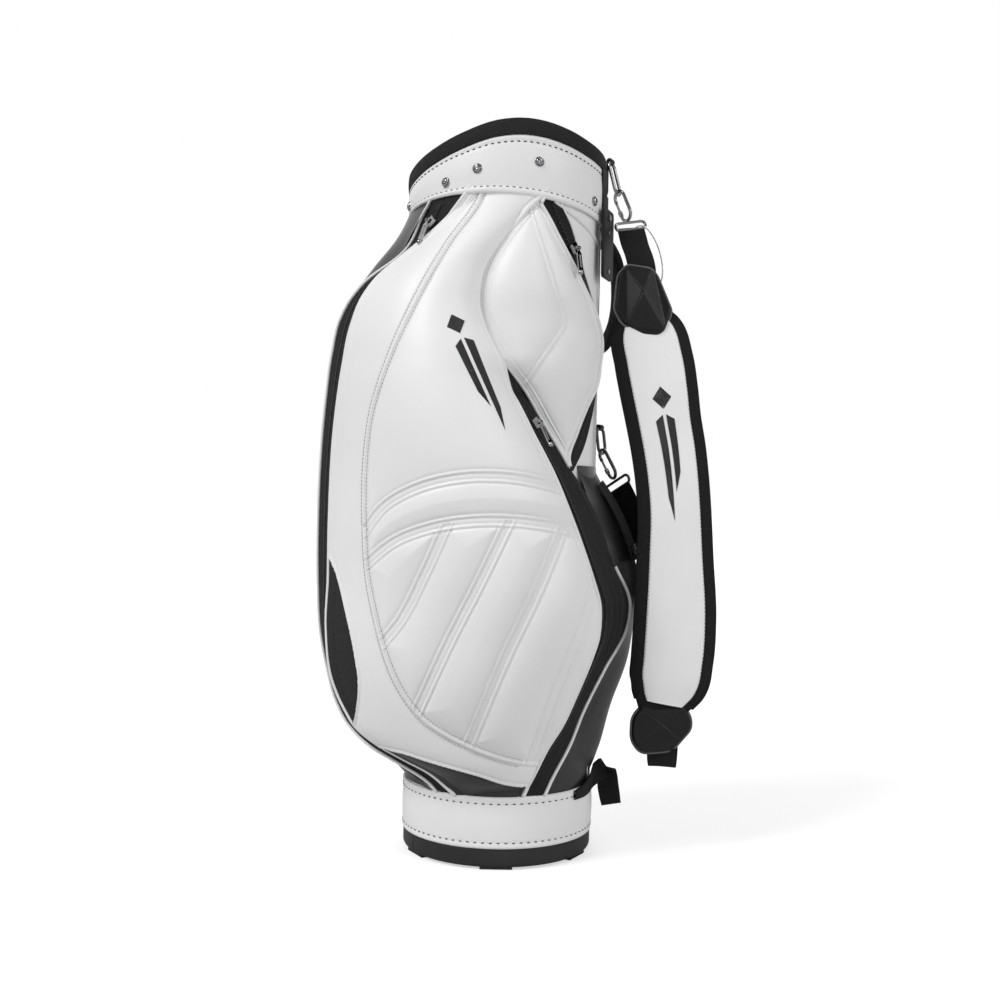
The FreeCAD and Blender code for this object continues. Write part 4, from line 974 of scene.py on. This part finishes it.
def build_upper_cuff():
    def to_cuff(g):
        low = cuff_low(g[..., 0], g[..., 1])
        high = cuff_high(g[..., 0], g[..., 1])
        t = g[..., 2]
        g[..., 2] = low + (high - low) * t
        return g

    prof = [(118.0, 0.02), (120.2, 0.0), (121.6, 0.012), (122.3, 0.045), (122.2, 0.10), (121.2, 0.125),
            (121.9, 0.16)]
    prof += [(121.9 + 1.0 * math.sin(math.pi * t), 0.18 + 0.64 * t) for t in np.linspace(0, 1, 20)]
    prof += [(121.7, 0.86), (120.9, 0.885), (121.6, 0.92), (121.8, 0.97), (121.0, 1.0), (118.5, 1.01)]
    cuff = turned("upper_cuff_leather", prof, white, 220, to_cuff)
    finish_piece(cuff, "bag", ["upper_cuff"])
    for row, name in ((0.115, "low"), (0.885, "high")):
        line, normals = circle(121.5, row)
        stitches = stitch_row("upper_cuff_stitches_" + name, to_cuff(line[None])[0], normals, thread_dark,
                              7.6, 3.6, 1.5, 0.9)
        finish_piece(stitches, "bag")


def build_rim():
    def to_rim(g):
        top = rim_top(g[..., 0], g[..., 1])
        g[..., 2] = top - 20 + 20 * g[..., 2]
        return g

    outer = [(121.8, 0.0), (122.9, 0.12), (123.4, 0.45), (123.0, 0.75), (121.4, 0.94), (118.8, 1.0),
             (116.3, 0.95), (114.9, 0.78), (114.6, 0.4), (114.7, -0.4), (114.7, -2.2)]
    rim = turned("rim_mesh_pad", path(outer, 46), rim_mesh, 240, to_rim)
    finish_piece(rim, "bag", ["rim_pad"])


def build_lower_cuff():
    low_prof = [(113.6, 84.3), (115.4, 85.0), (117.0, 84.0), (117.5, 82.0), (117.4, 79.0), (116.7, 76.6),
                (117.3, 74.2)]
    low_prof += [(117.3 + 0.8 * math.sin(math.pi * t), 73.6 - 40 * t) for t in np.linspace(0, 1, 20)]
    low_prof += [(117.2, 33.0), (116.7, 31.6), (117.2, 29.8), (117.4, 27.0), (117.0, 25.0), (115.6, 24.4)]

    def sway(g):
        a = np.arctan2(g[..., 1], g[..., 0])
        mid = np.clip(1 - np.abs(g[..., 2] - 52) / 30, 0, 1)
        wave = 0.5 * np.sin(7 * a + 1.0) + 0.35 * np.sin(13 * a)
        g[..., :2] *= (1 + 0.7 * wave * mid / 117)[..., None]
        return g

    cuff = turned("lower_cuff_leather", low_prof, white, 220, sway)
    finish_piece(cuff, "bag", ["lower_cuff"])
    for z, name in ((76.6, "high"), (31.6, "low")):
        stitches = stitch_row("lower_cuff_stitches_" + name, *circle(117.0, z), thread_dark,
                              9.0, 3.4, 1.4, 0.9)
        finish_piece(stitches, "bag")


STUDS = [(-72, 797), (-35, 809), (36, 818), (104, 787)]
REAR_STUDS = (30, 68, 112, 150, 192)
CUFF_RADIUS = 122.0


def build_studs():
    """Hood snaps: a flared ring round a low dome, with a dimple."""
    places = [(math.atan2(-math.sqrt(CUFF_RADIUS**2 - x * x), x), z) for x, z in STUDS]
    places += [(math.radians(t), 786) for t in REAR_STUDS]
    prof = rounded([(6.1, -0.6), (6.1, 0.7), (5.2, 1.9), (4.6, 0.9), (4.2, 0.9), (4.0, 2.4), (2.4, 3.4),
                    (0.9, 3.4), (0.01, 3.0)], 0.5, 4)
    lots = []
    sides = 36
    ring = np.linspace(0, 2 * math.pi, sides, endpoint=False)
    for a, z in places:
        out, side = around(a)
        pts = [out * (CUFF_RADIUS + 0.1 + h) + side * r * math.cos(b) + np.array([0, 0, z + r * math.sin(b)])
               for r, h in prof for b in ring]
        lots.append((pts, grid_faces(len(prof), sides, False, True).tolist()))
    finish_piece(joined("hood_snap_domes", lots, chrome), "bag", ["hood_snap_studs"])


def build_base():
    prof = rounded([(0.1, -0.1), (23, -0.1), (26, 2.4), (98, 2.4), (113.2, 2.4), (115.8, 6.0),
                    (115.9, 23.6), (113.6, 24.3)], 2.4, 6)

    def grooves(g):
        front = np.degrees(np.arctan2(g[..., 0], -g[..., 1]))
        r = np.hypot(g[..., 0], g[..., 1])
        for at in (-59, 46, 166):
            off = np.radians((front - at + 180) % 360 - 180) * r
            dip = 1 - np.where(r > 110, 1.0 * np.exp(-(off / 0.9)**2) / 115, 0)
            g[..., :2] *= dip[..., None]
        return g

    base = turned("base_shell", prof, base_plastic, 900, grooves)
    finish_piece(base, "bag", ["base_cup"])
    lots = []
    half, near, far, top = 19.0, 99.0, 113.6, 3.4
    rings = [(0.0, 0.96), (0.4, 0.985), (0.9, 1.0), (top - 1, 1.0), (top, 0.99)]
    for k in range(6):
        out, side = around(math.radians(60 * k - 90))
        outline = [(-half, near), (half, near), (half, far), (-half, far)]
        pts = []
        for z, s in rings:
            for a, b in outline:
                depth = near + (b - near) * s
                bulge = math.sqrt(max(depth**2 - (a * s)**2, 1)) - depth
                reach = depth + bulge + (0.9 if b == far else 0)
                pts.append(side * a * s + out * reach + np.array([0, 0, z]))
        lots.append((pts, rod_faces(len(rings), len(outline))))
    feet = joined("base_feet_blocks", lots, foot_rubber, flat=True)
    bevel = feet.modifiers.new("edges", "BEVEL")
    bevel.width = 0.7 * MM
    bevel.segments = 2
    finish_piece(feet, "bag", ["base_feet"])


# ---------------------------------------------------------------- strap

PAD_ROWS = [(704, 160, -34, 26), (690, 161, -36, 44), (672, 164.5, -39, 54), (664, 165.5, -40.5, 60),
            (650, 168.0, -42.5, 73), (637.6, 171.5, -44.5, 86), (600, 180.5, -49, 94),
            (563, 186.8, -53, 92.8), (527, 192.6, -56, 89), (491, 199, -59, 87.8),
            (455, 203.5, -62, 86.5), (419, 206.5, -64, 86), (362, 208, -65, 90), (287, 209, -66, 97),
            (240, 206.5, -66, 97), (210, 202.5, -66, 92), (196, 199, -65, 80), (180, 196, -64.5, 60),
            (150, 195, -63.5, 44)]


def pad_frame(z):
    v = smooth([(r[0], *r[1:]) for r in PAD_ROWS], z)
    centre = np.c_[v[:, 0], v[:, 1], z]
    along = tangents(centre)
    across = unit(np.stack([np.ones(len(z)), 0.08 * np.ones(len(z)), np.zeros(len(z))], -1))
    across = unit(across - along * (across * along).sum(-1, keepdims=True))
    out = np.cross(across, along)
    out = out * np.sign(-out[:, 1:2])
    return centre, across, out, v[:, 2]


PAD_BORDER = 12.0


def pad_rise(s, z):
    """Height of the pad's leather panel over its middle line, s being -1 to 1 across it."""
    return 6.2 + 2.6 * (1 - np.abs(s)**2.4), 0.35 * np.sin(z / 17) * np.sin(s * 3)


def build_pad():
    z = np.linspace(152, 700, 230)
    c, across, out, w = pad_frame(z)
    a = np.linspace(0, 2 * math.pi, 64, endpoint=False)
    cosa, sina = np.cos(a), np.sin(a)
    s = np.sign(cosa) * np.abs(cosa)**0.55
    t = np.sign(sina) * np.abs(sina)**0.75
    half = (w / 2)[:, None]
    g = c[:, None] + across[:, None] * (half * s)[..., None] + out[:, None] * (6.0 * t)[None, :, None]
    body = grid("shoulder_pad_body", g, pad_mesh, close_cols=True)
    finish_piece(body, "strap", ["shoulder_pad"])
    held = (z > 186) & (z < 655)
    z, c, across, out, w = z[held], c[held], across[held], out[held], w[held]
    s = np.linspace(-1, 1, 56)
    half = (w / 2 - PAD_BORDER)[:, None]
    rise, wave = pad_rise(s[None], z[:, None])
    edge = np.clip((1 - np.abs(s)) * half / 3.0, 0, 1)
    rise = rise - 2.6 * (1 - edge)**2
    g = c[:, None] + across[:, None] * (half * s)[..., None] + out[:, None] * (rise + wave)[..., None]
    panel = grid("shoulder_pad_panel", g, white)
    finish_piece(panel, "strap")

    def place(flat):
        at = 566 - flat[:, 0] * 1.12
        mid, wide, face, width = pad_frame(at)
        reach = width / 2 - PAD_BORDER
        s = -flat[:, 1] * 1.35 / reach
        rise, wave = pad_rise(s, at)
        return mid + wide * (s * reach)[:, None] + face * (rise + wave + 0.1)[:, None], face

    for k, outline in enumerate(MARK):
        finish_piece(mark_piece(f"shoulder_pad_emblem_{k}", outline, place), "strap")
    for side, label in ((-1, "left"), (1, "right")):
        line = c + across * (side * (w / 2 - PAD_BORDER - 1.6))[:, None] + out * 6.0
        row = stitch_row("shoulder_pad_stitches_" + label, line, out, thread_grey, 4.6, 2.9, 0.8, 0.9)
        finish_piece(row, "strap")
        line = c + across * (side * (w / 2 - 1.0))[:, None]
        edge = tube("shoulder_pad_edge_" + label, line, 2.9, pad_mesh, up=(0, 1, 0))
        finish_piece(edge, "strap")


def cap(label, outline, centre, facing, ends, peak, groove, turn, base=7.0):
    """A stitched end cap: flat facets rising to its middle, parted by creases out to the corners."""
    name, slot = label + "_pad_cap_leather", label + "_cap_leather"
    facing = unit(facing)
    ring = rounded_loop(outline, turn)
    mid = np.array([centre[0], centre[2]], float)
    ends = np.array(ends, float) - mid

    def rise(p):
        """Height share of the facets at points measured from the middle."""
        best = np.full(len(p), -9.0)
        for k in range(len(ends)):
            e, f = ends[k], ends[(k + 1) % len(ends)]
            det = e[0] * f[1] - e[1] * f[0]
            a = (p[:, 0] * f[1] - p[:, 1] * f[0]) / det
            b = (e[0] * p[:, 1] - e[1] * p[:, 0]) / det
            best = np.where((a >= -1e-6) & (b >= -1e-6), 1 - a - b, best)
        return np.clip(best, 0, 1)

    def crease(p):
        return np.min([distance(p, np.array([(0, 0), e])) for e in ends], axis=0)

    def onto(p, lift):
        x, z = p[:, 0] + mid[0], p[:, 1] + mid[1]
        y = centre[1] - ((x - centre[0]) * facing[0] + (z - centre[2]) * facing[2]) / facing[1]
        return np.stack([x, y, z], -1) + facing * np.asarray(lift)[..., None]

    rows = [(r, None) for r in np.linspace(0.01, 0.93, 34)]
    rows += [(0.95, 0.86), (0.97, 0.66), (0.99, 0.30), (1.0, -0.1), (0.995, -0.7), (0.9, -1.0), (0.4, -1.0)]
    g = np.empty((len(rows), len(ring), 3))
    for k, (r, share) in enumerate(rows):
        p = (ring - mid) * r
        if share is None:
            lift = base + peak * rise(p) - 0.55 * groove * gauss(crease(p), 0, 0.9)
        else:
            lift = np.full(len(p), base * share)
        g[k] = onto(p, lift)
    o = grid(name, g, cap_leather, close_cols=True)
    finish_piece(o, "strap", [label + "_pad_cap"])
    line = onto(ring - mid, np.full(len(ring), 1.2))
    finish_piece(tube(name + "_piping", line, 1.8, grey_piping, closed=True, up=facing), "strap")
    for e in ends:
        p = np.linspace(0.04, 0.9, 60)[:, None] * e
        line = onto(p, base + peak * rise(p) - 0.9)
        thread = stitch_row(name + "_crease_stitches", line, np.tile(facing, (60, 1)), thread_dark,
                            3.4, 2.4, 0.8, 0.6)
        finish_piece(thread, "strap")


def band(name, points, widths, thickness, material, step=3.0):
    """Webbing along a path: a flat closed strip with rounded selvedges."""
    rows = path([(*p, *w) for p, w in zip(points, widths)], step=step)
    c, w = rows[:, :3], rows[:, 3:]
    t = tangents(c)
    half = np.linalg.norm(w, axis=1)[:, None] / 2
    side = unit(w - t * (w * t).sum(-1, keepdims=True))
    out = np.cross(side, t)
    profile = [(-1, 0.0), (-0.985, 0.8), (-0.94, 1.0), (-0.5, 0.92), (0, 0.95), (0.5, 0.92), (0.94, 1.0),
               (0.985, 0.8), (1, 0.0), (0.985, -0.8), (0.94, -1.0), (0, -0.95), (-0.94, -1.0),
               (-0.985, -0.8)]
    g = np.stack([c + side * half * a + out * (thickness / 2 * b) for a, b in profile], 1)
    return grid(name, g, material, close_cols=True)


def build_strap():
    build_pad()
    outline = [(147, 716), (176, 712.5), (184, 704), (202, 660), (193, 633), (185, 627), (166, 628),
               (140, 643), (131, 660), (135.5, 703)]
    cap("upper", outline, (164.0, -43, 679.0), (0.1, -1, 0.15),
        [(178, 711), (145, 713), (146, 640), (194, 635)], 10.0, 1.3, 5.0)
    outline = [(159, 172), (176, 190), (192, 202), (214, 200), (231, 170), (231, 157), (208, 131),
               (170, 128), (158, 144)]
    cap("lower", outline, (195, -64, 164), (0.08, -1, 0.04),
        [(221, 187), (168, 182), (165, 137), (220, 143)], 1.6, 1.0, 9.0)
    w = 34.0  # the webbing's width
    top = [(153.6, -12.4, 767), (155, -15, 760), (158.5, -19.6, 745), (163, -26, 730), (166, -30, 716),
           (167, -33, 700)]
    o = band("upper_strap_webbing", top, [(w, 0.05 * w, -0.2 * w)] * 6, 2.6, web_cloth)
    finish_piece(o, "strap", ["upper_webbing"])
    low = [(148.6, 18.9, 445), (156, 14, 430), (168, 8, 405), (184, 1, 365), (194, -10, 320),
           (200, -20, 270), (203, -30, 220), (203, -38, 175), (202, -43, 140), (200, -49, 117),
           (198, -56, 111), (196, -62, 117), (195, -64, 134)]
    widths = [(0.75 * w, -0.66 * w, 0)] * 3 + [(0.84 * w, -0.54 * w, 0)] * 2 + [(0.96 * w, -0.2 * w, 0)] * 8
    o = band("lower_strap_webbing", low, widths, 2.4, web_cloth)
    finish_piece(o, "strap", ["lower_webbing"])


def build_handles():
    path_rows = [(110, 40.5, 618), (120, 44, 621), (137, 50, 646), (146, 53, 700), (138, 50, 744),
                 (122, 44.5, 765), (112, 41, 770)]
    widths = [(-0.34 * w, 0.94 * w, 0) for w in (24, 24, 26, 27, 26, 24, 24)]
    o = band("side_grab_handle", path_rows, widths, 9.0, web_cloth)
    finish_piece(o, "bag", ["grab_handle"])
    fold = [(92, -75, 78), (103, -59, 80), (111, -42, 83), (118, -22, 88), (126, -8, 93), (133, -2, 97),
            (137, 2, 94), (138, 4, 84), (139, 3, 72), (141, 1, 60), (143, 0, 50)]
    lean = [(1, 1, 10), (2, 2, 15), (3, 3, 20), (0, 2, 22), (-8, 4, 22), (-14, 5, 18), (-21, 7, 8),
            (-25, 7, 1), (-26, 7, -3), (-25, 6, -6), (-23, 5, -8)]
    o = band("base_folded_loop", fold, lean, 2.6, web_cloth, 2.0)
    finish_piece(o, "bag", ["base_grab_loop"])


# ---------------------------------------------------------------- carried CAD nodes

# the lower ring, hook, gate and dee take the darker chrome copy as painted shade
CARRIED = {
    "floor_pad": lining_cloth, "body_tube": tube_plastic, "top_ring": trim_plastic,
    "divider_grid": trim_plastic, "divider_panel_centre": lining_cloth,
    "divider_panel_wings": lining_cloth, "stays": trim_plastic, "upper_ring": chrome,
    "lower_ring": shaded_chrome, "upper_ring_tab": black_leather, "lower_ring_tab": black_leather,
    "upper_hook": chrome, "upper_hook_gate": chrome, "lower_hook": shaded_chrome,
    "lower_hook_gate": shaded_chrome, "upper_dee": chrome, "lower_dee": shaded_chrome,
    "strap_adjuster": trim_plastic, "name_tag": tag_leather, "tag_rivets": chrome,
    "tag_hanger": tag_leather, "tag_pivot_rivet": chrome, "cable_ring": cable_steel,
}
BEVELLED = {"name_tag": 1.2, "tag_hanger": 0.8, "upper_ring_tab": 0.6, "lower_ring_tab": 0.6,
            "strap_adjuster": 0.8, "top_ring": 0.5, "tag_pivot_rivet": 0.5}

for zip_name in ("left", "petal", "front", "side"):
    CARRIED[zip_name + "_zip_tape"] = solid_web
    for part in ("_zip_slider", "_zip_puller"):
        CARRIED[zip_name + part] = chrome
        BEVELLED[zip_name + part] = 0.4


def dress_nodes():
    for node, material in CARRIED.items():
        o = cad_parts[node]
        if not o.material_slots:
            o.data.materials.append(material)
        for slot in o.material_slots:
            slot.material = material
    for node, width in BEVELLED.items():
        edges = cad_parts[node].modifiers.new("edges", "BEVEL")
        edges.width = width * MM
        edges.segments = 3
        edges.limit_method = "ANGLE"
        edges.angle_limit = math.radians(35)


# ---------------------------------------------------------------- stage, light, camera

def build_stage():
    paper = node_material("floor_paper", (0.55, 0.55, 0.55), 0.9, Specular_IOR_Level=0.0)
    n = Nodes(paper)
    seen = n.add("ShaderNodeLightPath").outputs["Is Camera Ray"]
    n.bsdf.inputs["Emission Color"].default_value = (1, 1, 1, 1)
    n.link(n.math("MULTIPLY", seen, 0.56), n.bsdf.inputs["Emission Strength"])
    reach, drop = 90000, -0.4
    corners = [(a * reach, b * reach, drop) for a, b in ((-1, -1), (1, -1), (1, 1), (-1, 1))]
    floor = mesh("studio_floor", corners, [(0, 1, 2, 3)], paper, flat=True)
    world = bpy.data.worlds.new("studio")
    bpy.context.scene.world = world
    world.use_nodes = True
    n = Nodes(world)
    sky = n.tree.nodes["Background"]
    sky.inputs["Color"].default_value = (1, 1, 1, 1)
    # the camera sees white paper, gloss sees a studio with light and dark parts, and the rest is even light
    rays = n.add("ShaderNodeLightPath").outputs
    x, _, z = n.axes("Generated")
    slope = n.math("ADD", n.math("MULTIPLY", z, 7.0), n.math("MULTIPLY", x, 2.4))
    panels = n.math("MAXIMUM", n.math("MULTIPLY_ADD", n.math("SINE", slope), 0.62, 0.34), 0.0)
    diffuse_level = 0.48
    even = n.math("MULTIPLY_ADD", rays["Is Camera Ray"], 1 - diffuse_level, diffuse_level)
    gloss = n.math("MULTIPLY", rays["Is Glossy Ray"], n.math("SUBTRACT", panels, diffuse_level))
    n.link(n.math("ADD", even, gloss), sky.inputs["Strength"])
    for name, spot, angle, power in (("key_light", (-2.6, -1.9, 3.2), 22, 1.85),
                                     ("fill_light", (3.0, -2.0, 1.8), 30, 0.8),
                                     ("rear_light", (0.6, 3.0, 2.6), 40, 0.6)):
        light = bpy.data.lights.new(name, "SUN")
        light.angle = math.radians(angle)
        light.energy = power
        o = bpy.data.objects.new(name, light)
        bpy.context.scene.collection.objects.link(o)
        o.location = spot
        o.rotation_euler = (-Vector(spot)).to_track_quat("-Z", "Y").to_euler()


def build_camera():
    cam = bpy.data.cameras.new("camera")
    cam.lens = 43.2
    cam.sensor_width = 36
    cam.clip_end = 50
    o = bpy.data.objects.new("camera", cam)
    bpy.context.scene.collection.objects.link(o)
    level = Matrix.Translation((-0.0025, -1.5, 0.4275)) @ Matrix.Rotation(math.radians(90), 4, "X")
    o.matrix_world = level @ Matrix.Rotation(math.radians(1.0), 4, "Z")
    bpy.context.scene.camera = o
    bpy.context.scene.view_settings.view_transform = "Standard"


build_camera()
build_stage()
dress_nodes()
build_front()
build_gussets()
build_front_piping()
build_petal()
build_petal_sides()
build_side("right", RIGHT_SIDE, (79, 470), False, 300)
build_side("left", LEFT_SIDE, (86, 790), True, 560)
build_cover()
build_upper_cuff()
build_rim()
build_lower_cuff()
build_studs()
build_base()
build_strap()
build_handles()
